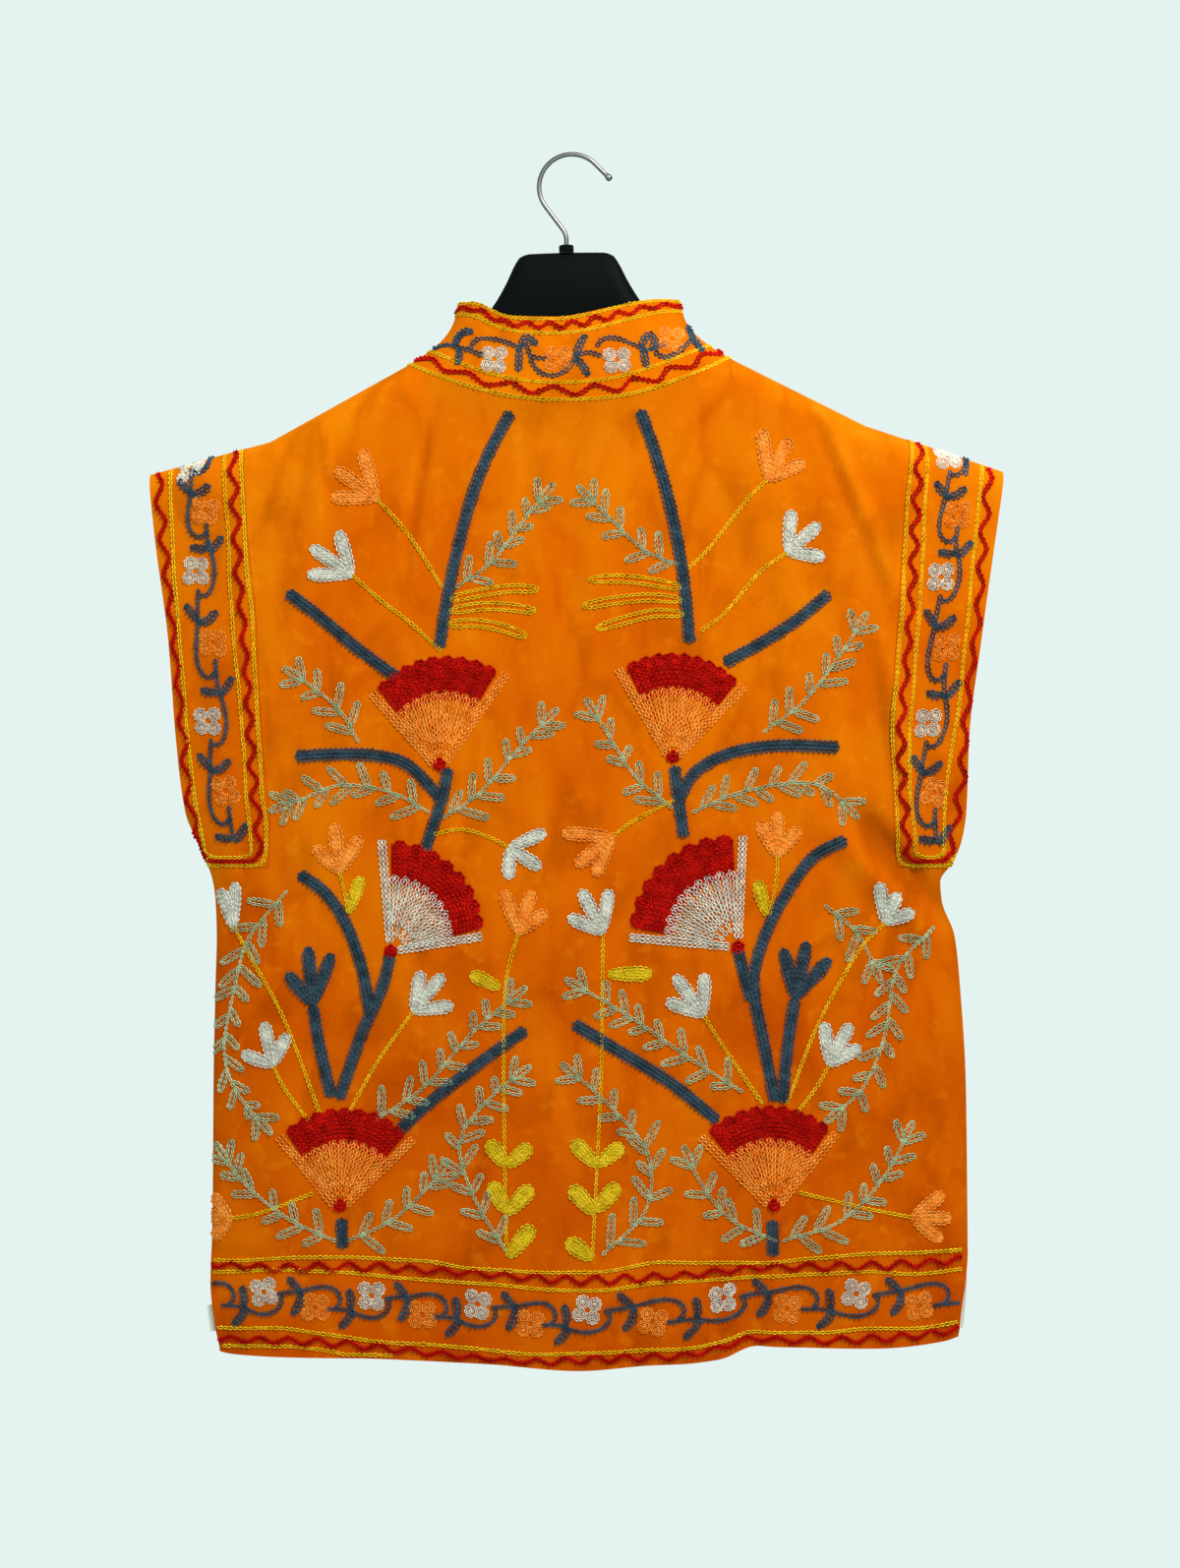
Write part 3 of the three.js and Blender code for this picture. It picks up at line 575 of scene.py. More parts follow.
def make_object(name, points, faces, materials, indices=None, smooth_angle=None):
    """A mesh from points in millimetres."""
    mesh = bpy.data.meshes.new(name)
    mesh.from_pydata((np.asarray(points) * MM).tolist(), [], faces)
    for material in materials:
        mesh.materials.append(material)
    if indices is not None:
        mesh.polygons.foreach_set("material_index", np.asarray(indices, np.int32))
    mesh.shade_smooth()
    if smooth_angle:
        mesh.set_sharp_from_angle(angle=math.radians(smooth_angle))
    mesh.update()
    return add_object(name, mesh)


def grid_normals(points, flip, level=False):
    normal = np.cross(np.gradient(points, axis=0), np.gradient(points, axis=1))
    if flip:
        normal = -normal
    if level:
        normal[..., 2] = 0
    return unit(normal)


def cut_size(outer, cells):
    """Width, length and area of a grid of points laid out flat, in metres."""
    def longest(steps):
        return np.linalg.norm(steps, axis=-1).sum(axis=0).max() * MM

    there = np.pad(cells, ((0, 1), (0, 1)), mode="edge")
    width = longest(np.diff(outer, axis=0) * there[:-1, :, None])
    length = longest(np.swapaxes(np.diff(outer, axis=1) * there[:, :-1, None], 0, 1))
    diagonal = outer[1:, 1:] - outer[:-1, :-1]
    other = outer[1:, :-1] - outer[:-1, 1:]
    areas = np.linalg.norm(np.cross(diagonal, other), axis=-1) / 2
    return width, length, (areas * cells).sum() * MM * MM


def shell(name, outer, inner, cells, flip, materials, fold=None):
    """A closed wall between two grids of points, over the cells that are there. The outer face and
    the rims have the first material, the inner face the second. The attribute `fold`, the velvet's
    painted light, runs from 0 in a trough (painted shade) to 1 on a ridge or near the shoulder's
    edge (painted highlight), and is 0.5 on level cloth."""
    cut_size(outer, cells)
    columns, rows = cells.shape
    index = np.arange(outer.shape[0] * outer.shape[1]).reshape(outer.shape[:2])
    count = index.size
    faces = []
    looks = []

    def add(a, b, c, d, look):
        faces.append((a, d, c, b) if flip else (a, b, c, d))
        looks.append(look)

    for i in range(columns):
        for j in range(rows):
            if not cells[i, j]:
                continue
            ring = [index[i, j], index[i + 1, j], index[i + 1, j + 1], index[i, j + 1]]
            add(*ring, 0)
            add(*[k + count for k in ring[::-1]], 1)
            neighbours = ((i, j - 1), (i + 1, j), (i, j + 1), (i - 1, j))
            for start, end, (a, b) in zip(ring, (*ring[1:], ring[0]), neighbours):
                if not (0 <= a < columns and 0 <= b < rows and cells[a, b]):
                    add(start, start + count, end + count, end, 0)
    points = np.concatenate([outer.reshape(-1, 3), inner.reshape(-1, 3)])
    used = np.unique(np.array(faces))
    renumber = np.zeros(len(points), int)
    renumber[used] = np.arange(len(used))
    faces = renumber[np.array(faces)].tolist()
    made = make_object(name, points[used], faces, materials, looks, SMOOTH_UNDER)
    # Painted light for the velvet: under 0.5 is painted shade, over it painted highlight; the lining's
    # points get 0.5.
    level = np.zeros(count) if fold is None else fold.ravel()
    tone = np.clip(0.5 + 0.5 * np.concatenate([level, np.zeros(count)]), 0, 1)
    store(made, "fold", tone[used])
    return made


EDGE_FADE = 22.0  # how far below the shoulder's edge its painted highlight reaches
SHARP_CREASE = 9  # widest crease that shows as painted shade or highlight on the velvet
CREASE_FULL = 5.0  # height of a crease whose painted shade or highlight shows in full


def painted_fold_light_of(outer, side, tops):
    """Painted light: how far the cloth is a ridge (painted highlight) or a trough (painted shade), and
    how near the shoulder's edge at height `tops` (painted highlight).
    """
    x, _, z = np.moveaxis(outer, -1, 0)
    edge = np.exp(-(tops - z) / EDGE_FADE) * smooth((neck_share(x) - 1) * 3)
    creased = crease_height(x, z, side, SHARP_CREASE) / CREASE_FULL
    return np.clip(creased, -0.6, 0.8) + 0.8 * edge


STRIP_CELLS = 18
SHOULDER_CELLS = 34
NECK_CELLS = 36
LOW_CELLS = 100
HIGH_CELLS = 84
ROUND_CELLS = 12
COLLAR_CELLS = 24
SMOOTH_UNDER = 50  # degrees between faces
LEAST = 1e-9  # keeps a column on its own side of a seam


def rows_from(start, *counts):
    """Row values from `start`: for each count of cells, as many steps to the next whole number."""
    parts = [start + k + np.arange(count) / count for k, count in enumerate(counts)]
    return np.concatenate([*parts, [start + len(counts)]])


def half_columns(hand):
    """Column values from the outer edge to the centre, for one half of a panel."""
    sign = -1 if hand == "left" else 1
    seam = abs(float(read(ARMHOLE, "z", hand, SEAM_TOP)) - NECK_X)
    strip = 2 - np.arange(STRIP_CELLS) / STRIP_CELLS
    point = (seam - NECK_HALF) / seam
    shoulder_part = 1 - point * np.arange(SHOULDER_CELLS) / SHOULDER_CELLS
    angle = math.pi / 2 * (1 - np.arange(NECK_CELLS + 1) / NECK_CELLS)
    neck = NECK_HALF * np.sin(angle) / seam
    # The column at the very centre keeps the sign of its own half.
    return sign * np.maximum(np.concatenate([strip, shoulder_part, neck]), LEAST)


def panel(name, side, hands):
    q = half_columns(hands[0])
    if hands[0] == "right":
        q = q[::-1]
    if len(hands) == 2:
        q = np.concatenate([q[:-1], half_columns("right")[::-1]])
    rows = rows_from(0, LOW_CELLS, HIGH_CELLS, ROUND_CELLS)
    grid_q, grid_row = np.meshgrid(q, rows, indexing="ij")
    outer = cloth_point(grid_q, grid_row, side)
    inner = outer - grid_normals(outer, side == "front") * SHELL
    # Strips stop at the underarm, seams stay upright, and nothing crosses the middle plane.
    strip = np.abs(q) > 1 + 1e-6
    seam = ~strip & (np.roll(strip, 1) | np.roll(strip, -1))
    if len(hands) == 1:
        seam[0] = not strip[0]
        seam[-1] = not strip[-1]
    inner[seam, :, 0] = outer[seam, :, 0]
    inner[strip, LOW_CELLS, 2] = outer[strip, LOW_CELLS, 2]
    inner[:, -1, 2] = np.minimum(inner[:, -1, 2], outer[:, -1, 2])
    sign = SIGN[side]
    inner[..., 1] = sign * np.maximum(sign * inner[..., 1], SEAM / 2)
    cells = np.ones((len(q) - 1, len(rows) - 1), bool)
    outside = strip[:-1] | strip[1:]
    cells[outside, LOW_CELLS:] = False
    fold = painted_fold_light_of(outer, side, outer[:, -1:, 2])
    return shell(name, outer, inner, cells, side == "front", [VELVET, LINING], fold)


def sleeve(name, hand):
    sign = -1 if hand == "left" else 1
    q = sign * (1 + np.maximum(np.arange(STRIP_CELLS * 2 + 1) / (STRIP_CELLS * 2), LEAST))
    rows = rows_from(1, HIGH_CELLS, ROUND_CELLS)
    grid_q, grid_row = np.meshgrid(q, rows, indexing="ij")
    back = cloth_point(grid_q, grid_row, "back", sleeve=True)
    front = cloth_point(grid_q, grid_row, "front", sleeve=True)
    back[:, -1, 1] = 0
    outer = np.concatenate([back, front[:, -2::-1]], 1)
    inner = outer - grid_normals(outer, hand == "left") * SHELL
    inner[0, :, 0] = outer[0, :, 0]
    inner[:, 0, 2] = outer[:, 0, 2]
    inner[:, -1, 2] = outer[:, -1, 2]
    top = len(rows) - 1
    inner[:, :top, 1] = np.minimum(inner[:, :top, 1], -SEAM / 2)
    inner[:, top + 1:, 1] = np.maximum(inner[:, top + 1:, 1], SEAM / 2)
    cells = np.ones((outer.shape[0] - 1, outer.shape[1] - 1), bool)
    tops = outer[:, top:top + 1, 2]
    fold = np.hstack([painted_fold_light_of(outer[:, :top], "back", tops), painted_fold_light_of(outer[:, top:], "front", tops)])
    return shell(name, outer, inner, cells, hand == "left", [BORDER_VELVET, LINING], fold)


def collar(name):
    end = 180 - math.degrees(FRONT_GAP / 2 / NECK_HALF)
    turn = np.clip(np.linspace(-180, 180, 8 * NECK_CELLS + 1), -end, end)
    up = np.linspace(0, 1, COLLAR_CELLS + 1)
    grid_turn, grid_up = np.meshgrid(turn, up, indexing="ij")
    outer = collar_point(grid_turn, grid_up)
    inner = outer - grid_normals(outer, False, level=True) * COLLAR_WALL
    inner[0, :, 0] = outer[0, :, 0]
    inner[-1, :, 0] = outer[-1, :, 0]
    cells = np.ones((len(turn) - 1, len(up) - 1), bool)
    return shell(name, outer, inner, cells, False, [BORDER_VELVET, LINING])


def stand_for(piece, cad_node):
    """The piece takes the place of a node of the CAD model."""
    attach(piece, "root")
    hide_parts(cad_node)


back = panel("velvet_back", "back", ["left", "right"])
front_left = panel("velvet_front_left", "front", ["left"])
front_right = panel("velvet_front_right", "front", ["right"])
sleeve_left = sleeve("velvet_sleeve_left", "left")
sleeve_right = sleeve("velvet_sleeve_right", "right")
neck_band = collar("velvet_collar")

for piece, cad_node, slot_name in (
    (back, "back", "velvet"), (front_left, "front_left", "velvet"), (front_right, "front_right", "velvet"),
    (sleeve_left, "sleeve_left", "velvet_border"), (sleeve_right, "sleeve_right", "velvet_border"),
    (neck_band, "collar", "velvet_border"),
):
    stand_for(piece, cad_node)


# ---- chain stitch --------------------------------------------------------------------------------
# The chart: x to the right and y down, in steps of 0.742 mm.
CHART_STEP = 0.742
CHART_X = 576.75
CHART_Y = 152.9
SINK = 0.25  # how deep a strand's foot stands in the pile
FILL_HEIGHT = 0.4  # of the threads that lie under a filled shape
TOP_ROOM = 0.2  # below the shoulder line, where a line of stitches goes over to the other side
TURN_AT = 0.9995  # share of the half width where it goes round a folded edge
STOP_AT = 0.992  # share of the half width where it stops short of a free edge
FOLDED = 0.6  # an edge whose `turn` is under this is folded
# Thread, and a link's width, length, height and strand radius, for each kind of line.
LINKS = {
    "blue": ("blue", 4.4, 3.9, 2.0, 0.74),
    "vine": ("blue", 4.5, 3.7, 2.0, 0.8),
    "white": ("white", 4.0, 4.0, 1.7, 0.66),
    "white_fine": ("white", 3.0, 3.1, 1.5, 0.54),
    "orange": ("orange", 4.0, 4.0, 1.7, 0.66),
    "orange_fine": ("orange", 3.0, 3.1, 1.5, 0.54),
    "red": ("red", 4.7, 3.9, 2.4, 1.05),
    "yellow": ("yellow", 3.1, 4.0, 1.5, 0.52),
    "leaf": ("leaf", 3.9, 4.0, 1.6, 0.64),
    "sage": ("sage", 2.8, 4.0, 1.6, 0.43),
}
stitched = {kind: [] for kind in LINKS}
filled = {kind: [] for kind in LINKS}


def on_cloth(points, side):
    """As field, for points that may pass the outline: they go on round a folded edge or over the
    shoulder to the other side, and stop short of a free edge."""
    x, z = points.T
    top = top_edge(x, side) - TOP_ROOM
    over = z > top
    z = np.where(over, 2 * top - z, z)
    middle, half = outline(z, side)
    way = (x - middle) / half
    past = np.abs(way) > TURN_AT
    folded = past & (read(DEPTH, "z", "turn", z) < FOLDED)
    held = np.where(past, np.clip(way, -STOP_AT, STOP_AT), way)
    way = np.where(folded, np.sign(way) * (2 * TURN_AT - np.abs(way)), held)
    flat = np.stack([middle + way * half, z], 1)
    near = field(flat, side)
    far = field(flat, "front" if side == "back" else "back")
    other_side = (over ^ folded)[:, None]
    return np.where(other_side, far[0], near[0]), np.where(other_side, far[1], near[1])


def on_chart(points, side="back"):
    """Points and normals on the jacket, from the chart."""
    flat = np.stack([points[:, 0] - CHART_X, CHART_Y - points[:, 1]], 1) * CHART_STEP
    return on_cloth(flat, side)


def curve(points):
    """A smooth line through a few points, as many close ones."""
    p = np.asarray(points, float)
    p = np.vstack([2 * p[0] - p[1], p, 2 * p[-1] - p[-2]])
    pieces = []
    for a, b, c, d in zip(p[:-3], p[1:-2], p[2:-1], p[3:]):
        steps = max(2, int(np.linalg.norm(c - b)))
        t = (np.arange(steps) / steps)[:, None]
        square = 2 * a - 5 * b + 4 * c - d
        cube = 3 * b - a - 3 * c + d
        pieces.append(0.5 * (2 * b + (c - a) * t + square * t**2 + cube * t**3))
    return np.vstack([*pieces, p[-2:-1]])


def circle(count, start=0.0):
    """A closed circle of radius 1, from the angle `start` on."""
    t = np.linspace(0, 2 * math.pi, count) + start
    return np.stack([np.cos(t), np.sin(t)], 1)


def run_length(points):
    """The length of a line up to each of its points."""
    return np.concatenate([[0], np.cumsum(np.linalg.norm(np.diff(points, axis=0), axis=1))])


def between(values, places, at):
    """Rows of values that belong to `places`, read at other places."""
    return np.stack([np.interp(at, places, column) for column in values.T], 1)


def beside(path, distance):
    """The line that runs beside a path, at its left for a distance over 0."""
    along = unit(np.gradient(path, axis=0))
    side = np.stack([-along[:, 1], along[:, 0]], 1)
    return path + side * np.broadcast_to(distance, len(path))[:, None]


def stitch(kind, path, place=on_chart):
    """One line of chain stitch along a path."""
    points, normals = place(np.asarray(path, float))
    length = run_length(points)
    at = np.linspace(0, length[-1], 1 + max(1, round(length[-1] / LINKS[kind][2])))
    stitched[kind].append((between(points, length, at), between(normals, length, at)))


def evenly(path, count):
    """The same line as `count` points."""
    return between(path, np.arange(len(path)), np.linspace(0, len(path) - 1, count))


def fill(kind, one, other):
    """Threads that lie flat between two lines, under the chain stitch over them."""
    count = max(len(one), len(other))
    grid = mix(evenly(one, count), evenly(other, count), np.linspace(0, 1, 5)[:, None, None])
    points, normals = on_chart(grid.reshape(-1, 2))
    filled[kind].append((points + normals * FILL_HEIGHT).reshape(*grid.shape[:2], 3))


def disc(kind, middle, radius, rings):
    """A filled disc under rings of chain stitch."""
    ring = circle(16)
    fill(kind, middle + ring[:9] * radius, middle + ring[:7:-1] * radius)
    for size in rings:
        stitch(kind, middle + ring * size)


STEM_GAP = 4.0  # between the lines of a stem


def stem(kind, points, rows=1):
    """A stem of one or more lines side by side, the outer ones a little shorter."""
    path = curve(points)
    for k in range(rows):
        out = k - (rows - 1) / 2
        cut = int(2.2 * out * out)
        whole = beside(path, out * STEM_GAP)
        stitch(kind, whole[cut:len(whole) - cut])
    if rows > 2:
        wide = (rows - 1) / 2 * STEM_GAP
        inner = path[2:-2:3]
        fill(kind, beside(inner, -wide), beside(inner, wide))


def hairpin(kind, points, half_width, place=on_chart):
    """Two lines side by side that join in round ends."""
    spine = curve(points)
    width = half_width * np.sqrt(1 - np.linspace(-1, 1, len(spine)) ** 6)
    stitch(kind, np.vstack([beside(spine, width), beside(spine, -width)[::-1]]), place)


def loop(base, tip, half_width, foot=0.6):
    """A closed petal with a narrow foot and a blunt tip: out on one side and back on the other."""
    along = tip - base
    across = np.array([-along[1], along[0]]) / np.linalg.norm(along)
    t = np.linspace(0, 2 * math.pi, 48)
    way = (1 - np.cos(t)) / 2
    side = np.sign(np.sin(t)) * way**foot * np.sqrt(1 - way**8)
    side /= np.abs(side).max()
    return base + way[:, None] * along + side[:, None] * across * half_width


def petal(kind, base, tip, half_width):
    """A petal: its edge, one line up its middle, and the threads under them."""
    base, tip = np.array([base, tip], float)
    edge = loop(base, tip, half_width, 0.3)
    stitch(kind, edge)
    stitch(kind, curve([mix(base, tip, 0.1), mix(base, tip, 0.88)]))
    fill(kind, edge[2:23:2], edge[45:24:-2])


def bud(kind, base, tips, stalk=(), half_width=5.2):
    """A bud of blunt petals that open from one base, on its yellow stalk."""
    for tip in tips:
        petal(kind, base, tip, half_width)
    if stalk:
        stem("yellow", [base, *stalk])


BROAD_LEAF = 5.0  # half width over which a leaf has a second loop


def leaf(base, tip, half_width):
    """A filled leaf: loop within loop."""
    petal("leaf", base, tip, half_width)
    if half_width > BROAD_LEAF:
        base, tip = np.array([base, tip], float)
        stitch("leaf", loop(mix(base, tip, 0.12), mix(base, tip, 0.86), half_width * 0.5))


def turned(way, angle):
    """A direction turned by an angle."""
    return np.array([
        way[0] * math.cos(angle) - way[1] * math.sin(angle),
        way[0] * math.sin(angle) + way[1] * math.cos(angle),
    ])


LEAFLET = 27.0
LEAFLET_HALF = 2.6
LEAFLET_SPACING = 25.0
LEAFLET_ANGLE = 47  # degrees from the frond's line
FIRST_LEAFLET = 12.0
FERN_END = 22  # steps from the end of a fern's path that its tip's leaflets take up


def fern(points):
    """A frond: a line with narrow blunt leaflets, near pairs of them, shorter towards its end."""
    path = curve(points)[:-FERN_END]
    stitch("sage", path)
    length = run_length(path)
    along = unit(np.gradient(path, axis=0))
    total = length[-1]
    at = FIRST_LEAFLET
    while at < total - 15:
        for hand in (-1, 1):
            here = min(at + (7.0 if hand > 0 else 0.0) + 2.0 * rng.standard_normal(), total - 1)
            k = int(np.searchsorted(length, here))
            angle = math.radians(LEAFLET_ANGLE + 8 * rng.standard_normal()) * hand
            shorter = 1 - 0.25 * (here / total) ** 2
            reach = LEAFLET * shorter * (1 + 0.12 * rng.standard_normal())
            hairpin("sage", [path[k], path[k] + turned(along[k], angle) * reach], LEAFLET_HALF)
        at += LEAFLET_SPACING * (1 + 0.1 * rng.standard_normal())
    for angle in (-45, 0, 45):
        way = turned(along[-1], math.radians(angle))
        hairpin("sage", [path[-1], path[-1] + way * LEAFLET * 0.9], LEAFLET_HALF)


CROWN_FROM = 0.64  # share of a fan's radius where its red crown begins
CROWN_ROWS = 0.042
LOBES_AT = 0.93
FINGERS = 9
RIB_GAP = 4.2


def fan(apex, left, right, kind, lobes):
    """A fan from its apex to two corners: fingers of two ribs with round tips, a side rib to each
    corner, a red crown that ends in round lobes, and a red dot."""
    apex = np.asarray(apex, float)
    left = left - apex
    right = right - apex
    turn_left, turn_right = np.unwrap([math.atan2(left[1], left[0]), math.atan2(right[1], right[0])])
    far_left = np.linalg.norm(left)
    far_right = np.linalg.norm(right)

    def at(share, radius):
        """A point at a share of the way round and a share of the way out."""
        turn = mix(turn_left, turn_right, share)
        far = mix(far_left, far_right, share) * (1 + 0.04 * math.sin(math.pi * share))
        return apex + radius * far * np.array([math.cos(turn), math.sin(turn)])

    def across(radius):
        return curve([at(share, radius) for share in np.linspace(0.06, 0.94, 12)])

    # The crown: rows of chain round it, then a course of lobes, ring within ring.
    fill("red", across(CROWN_FROM - 0.03), across(0.97))
    for radius in np.arange(CROWN_FROM + 0.065, 0.9, CROWN_ROWS):
        stitch("red", across(radius))
    course = across(LOBES_AT)
    lobe = 0.45 * np.linalg.norm(course[0] - course[-1]) / lobes
    for k in range(lobes):
        disc("red", at(mix(0.06, 0.94, (k + 0.5) / lobes), LOBES_AT), lobe, (lobe, 0.45 * lobe))
    # The fingers start further out between those that reach down to the apex.
    tip = CROWN_FROM + 0.02
    for k in range(FINGERS):
        inner = (0.14, 0.24)[k % 2]
        start = mix(0.04, 0.96, k / FINGERS)
        end = mix(0.04, 0.96, (k + 1) / FINGERS)
        stitch(kind, curve([at(mix(start, end, share), radius) for share, radius in (
            (0.3, inner), (0.2, tip - 0.07), (0.26, tip), (0.5, tip + 0.03),
            (0.74, tip), (0.8, tip - 0.07), (0.7, inner + 0.12),
        )]))
    for share in (0.0, 1.0):
        edge = curve([at(share, 0.08), at(share, 1.0)])
        hand = math.copysign(1, turn_right - turn_left) * (1 if share == 0 else -1)
        for k in (-0.5, 0.5):
            stitch(kind, beside(edge, hand * k * RIB_GAP))
    disc("red", at(0.5, 0.05) if kind == "orange" else apex, 6.4, (5.2, 2.0))


def blossom(colour, middle, place, size):
    """A small flower of four round petals, each a ring of fine chain within a ring."""
    start = math.pi / 4 + 0.15 * rng.standard_normal()
    for k in range(4):
        angle = start + k * math.pi / 2 + 0.1 * rng.standard_normal()
        centre = middle + np.array([math.cos(angle), math.sin(angle)]) * size * 0.58
        for radius in (0.36, 0.14):
            stitch(f"{colour}_fine", centre + circle(14, angle + math.pi) * size * radius, place)


# ---- the back's flowers, in chart steps ----------------------------------------------------------
BLUE_STEMS = (
    ((520, 420), (497, 462), (478, 512), (463, 570), (453, 620), (447, 660)),
    ((292, 602), (326, 628), (364, 660), (405, 690)),
    ((300, 769), (340, 767), (380, 768), (415, 778), (448, 812)),
    ((456, 780), (450, 810), (441, 838), (432, 865)),
    ((303, 888), (330, 907), (352, 940), (368, 985), (376, 1030)),
    ((397, 970), (388, 1005), (368, 1050), (344, 1118)),
    ((318, 1022), (324, 1060), (337, 1116)),
    ((405, 1150), (440, 1118), (488, 1080), (535, 1046)),
    ((347, 1238), (348, 1270)),
    ((650, 418), (666, 462), (682, 520), (694, 585), (701, 655)),
    ((735, 675), (772, 655), (808, 632), (843, 603)),
    ((690, 812), (708, 784), (745, 765), (795, 758), (853, 760)),
    ((685, 778), (690, 815), (695, 852)),
    ((860, 853), (826, 872), (797, 912), (776, 955), (766, 1000), (776, 1060), (788, 1120)),
    ((750, 965), (756, 990), (764, 1018)),
    ((808, 1015), (801, 1060), (795, 1122)),
    ((730, 1140), (686, 1104), (632, 1070), (582, 1040)),
    ((785, 1240), (786, 1278)),
)
# Base, tips, stalk and colours.
BUDS = (
    ("orange", (383, 508), ((369, 458), (342, 478), (338, 507)), ((404, 530), (424, 556), (450, 598))),
    ("white", (358, 585), ((345, 541), (317, 557), (314, 585)), ((389, 612), (418, 634), (448, 662))),
    ("white", (518, 862), ((554, 846), (549, 882), (517, 893)), ((500, 852), (470, 843), (441, 848))),
    ("orange", (345, 886), ((320, 861), (340, 838), (366, 851)), ((350, 905), (354, 928))),
    ("white", (420, 1028), ((428, 988), (450, 991), (460, 1022)), ((404, 1050), (380, 1085), (355, 1130))),
    ("white", (236, 942), ((222, 905), (238, 898), (232, 930)), ((252, 970), (288, 1035), (325, 1132))),
    ("white", (277, 1083), ((268, 1040), (245, 1072), (292, 1052)), ((290, 1108), (314, 1140))),
    ("orange", (527, 948), ((512, 906), (541, 906), (555, 927)), ()),
    ("orange", (232, 1240), ((214, 1218), (206, 1240), (214, 1262)), ((262, 1234), (318, 1213))),
    ("orange", (780, 488), ((774, 438), (802, 448), (817, 471)), ((758, 510), (722, 556), (699, 579))),
    ("white", (800, 562), ((804, 520), (832, 534), (837, 567)), ((772, 582), (738, 622), (712, 642))),
    ("orange", (622, 850), ((572, 847), (586, 880), (605, 890)), ((648, 832), (686, 813))),
    ("orange", (790, 870), ((772, 836), (790, 826), (812, 842)), ((789, 895), (782, 930))),
    ("white", (900, 938), ((893, 898), (912, 908), (928, 927)), ((872, 968), (832, 1040), (800, 1122))),
    ("white", (843, 1082), ((838, 1040), (864, 1041), (874, 1064)), ((830, 1105), (808, 1134))),
    ("white", (715, 1032), ((678, 1018), (686, 992), (716, 990)), ((736, 1065), (775, 1122))),
    ("white", (612, 948), ((578, 932), (591, 905), (619, 905)), ()),
    ("orange", (928, 1238), ((960, 1214), (968, 1240), (958, 1262)), ((880, 1228), (812, 1212))),
)
BLUE_BUDS = (
    ((318, 1022), ((292, 990), (313, 963), (337, 970))),
    ((808, 1015), ((796, 965), (820, 958), (843, 975))),
)
PRONGS = (
    ((457, 610), (490, 603), (520, 599), (548, 600)),
    ((457, 622), (490, 617), (520, 618), (545, 622)),
    ((455, 635), (485, 634), (512, 639), (536, 648)),
    ((692, 598), (660, 592), (630, 589), (598, 590)),
    ((693, 611), (660, 608), (625, 611), (592, 617)),
    ((695, 625), (665, 624), (635, 631), (605, 640)),
)
STALKS = (
    ((527, 948), (514, 1000), (512, 1080), (513, 1170), (515, 1272)),
    ((613, 948), (612, 1010), (611, 1090), (607, 1180), (602, 1276)),
)
# Base, tip and half width.
LEAVES = (
    ((354, 928), (367, 892), 5.0), ((779, 930), (770, 896), 5.0),
    ((508, 1004), (479, 990), 5.5), ((618, 990), (662, 990), 6.0),
    ((514, 1184), (497, 1160), 6.5), ((516, 1184), (539, 1164), 6.5),
    ((514, 1230), (500, 1202), 7.0), ((516, 1232), (540, 1206), 7.0),
    ((517, 1276), (541, 1246), 7.0),
    ((606, 1184), (583, 1160), 6.5), ((608, 1184), (632, 1164), 6.5),
    ((604, 1232), (581, 1206), 7.0), ((606, 1230), (628, 1204), 7.0),
    ((602, 1278), (577, 1260), 7.0),
)
FERNS = (
    ((463, 598), (500, 572), (532, 530), (562, 494)),
    ((365, 755), (347, 724), (320, 700), (290, 680)),
    ((437, 826), (399, 806), (348, 798), (308, 812), (276, 824)),
    ((450, 832), (490, 804), (528, 760), (566, 722)),
    ((380, 1140), (432, 1104), (480, 1050), (534, 1004)),
    ((292, 905), (252, 955), (236, 1010), (226, 1070), (240, 1112), (275, 1152)),
    ((342, 1262), (292, 1238), (246, 1202), (218, 1166)),
    ((352, 1262), (396, 1242), (430, 1212), (455, 1180)),
    ((515, 1272), (480, 1212), (468, 1158), (500, 1114), (538, 1084)),
    ((690, 575), (655, 560), (622, 530), (588, 496)),
    ((775, 745), (816, 714), (852, 668), (880, 625)),
    ((703, 826), (758, 804), (828, 797), (872, 830)),
    ((684, 822), (646, 790), (620, 750), (596, 712)),
    ((838, 920), (872, 950), (896, 998)),
    ((950, 942), (912, 985), (900, 1050), (878, 1104), (840, 1140)),
    ((755, 1110), (700, 1075), (638, 1032), (576, 996)),
    ((790, 1262), (744, 1240), (714, 1205), (695, 1166)),
    ((795, 1262), (856, 1240), (900, 1194), (928, 1142)),
    ((612, 1275), (656, 1230), (658, 1172), (616, 1120), (572, 1082)),
)
# Apex, two corners, colour and lobes of the crown.
FANS = (
    ((447, 783), (378, 705), (515, 685), "orange", 9),
    ((397, 967), (388, 854), (490, 952), "white", 8),
    ((345, 1231), (283, 1155), (420, 1158), "orange", 9),
    ((683, 775), (628, 680), (756, 698), "orange", 9),
    ((750, 963), (640, 953), (755, 850), "white", 8),
    ((787, 1231), (712, 1155), (850, 1152), "orange", 9),
)

for points in FERNS:
    fern(points)
for points in BLUE_STEMS:
    stem("blue", points, 3)
for base, tips in BLUE_BUDS:
    bud("blue", base, tips, half_width=5.0)
for points in PRONGS:
    hairpin("yellow", points, 3.4)
for points in STALKS:
    stem("yellow", points)
for colour, base, tips, stalk in BUDS:
    bud(colour, base, tips, stalk)
for base, tip, half_width in LEAVES:
    leaf(base, tip, half_width)
for apex, left, right, colour, lobes in FANS:
    fan(apex, left, right, colour, lobes)


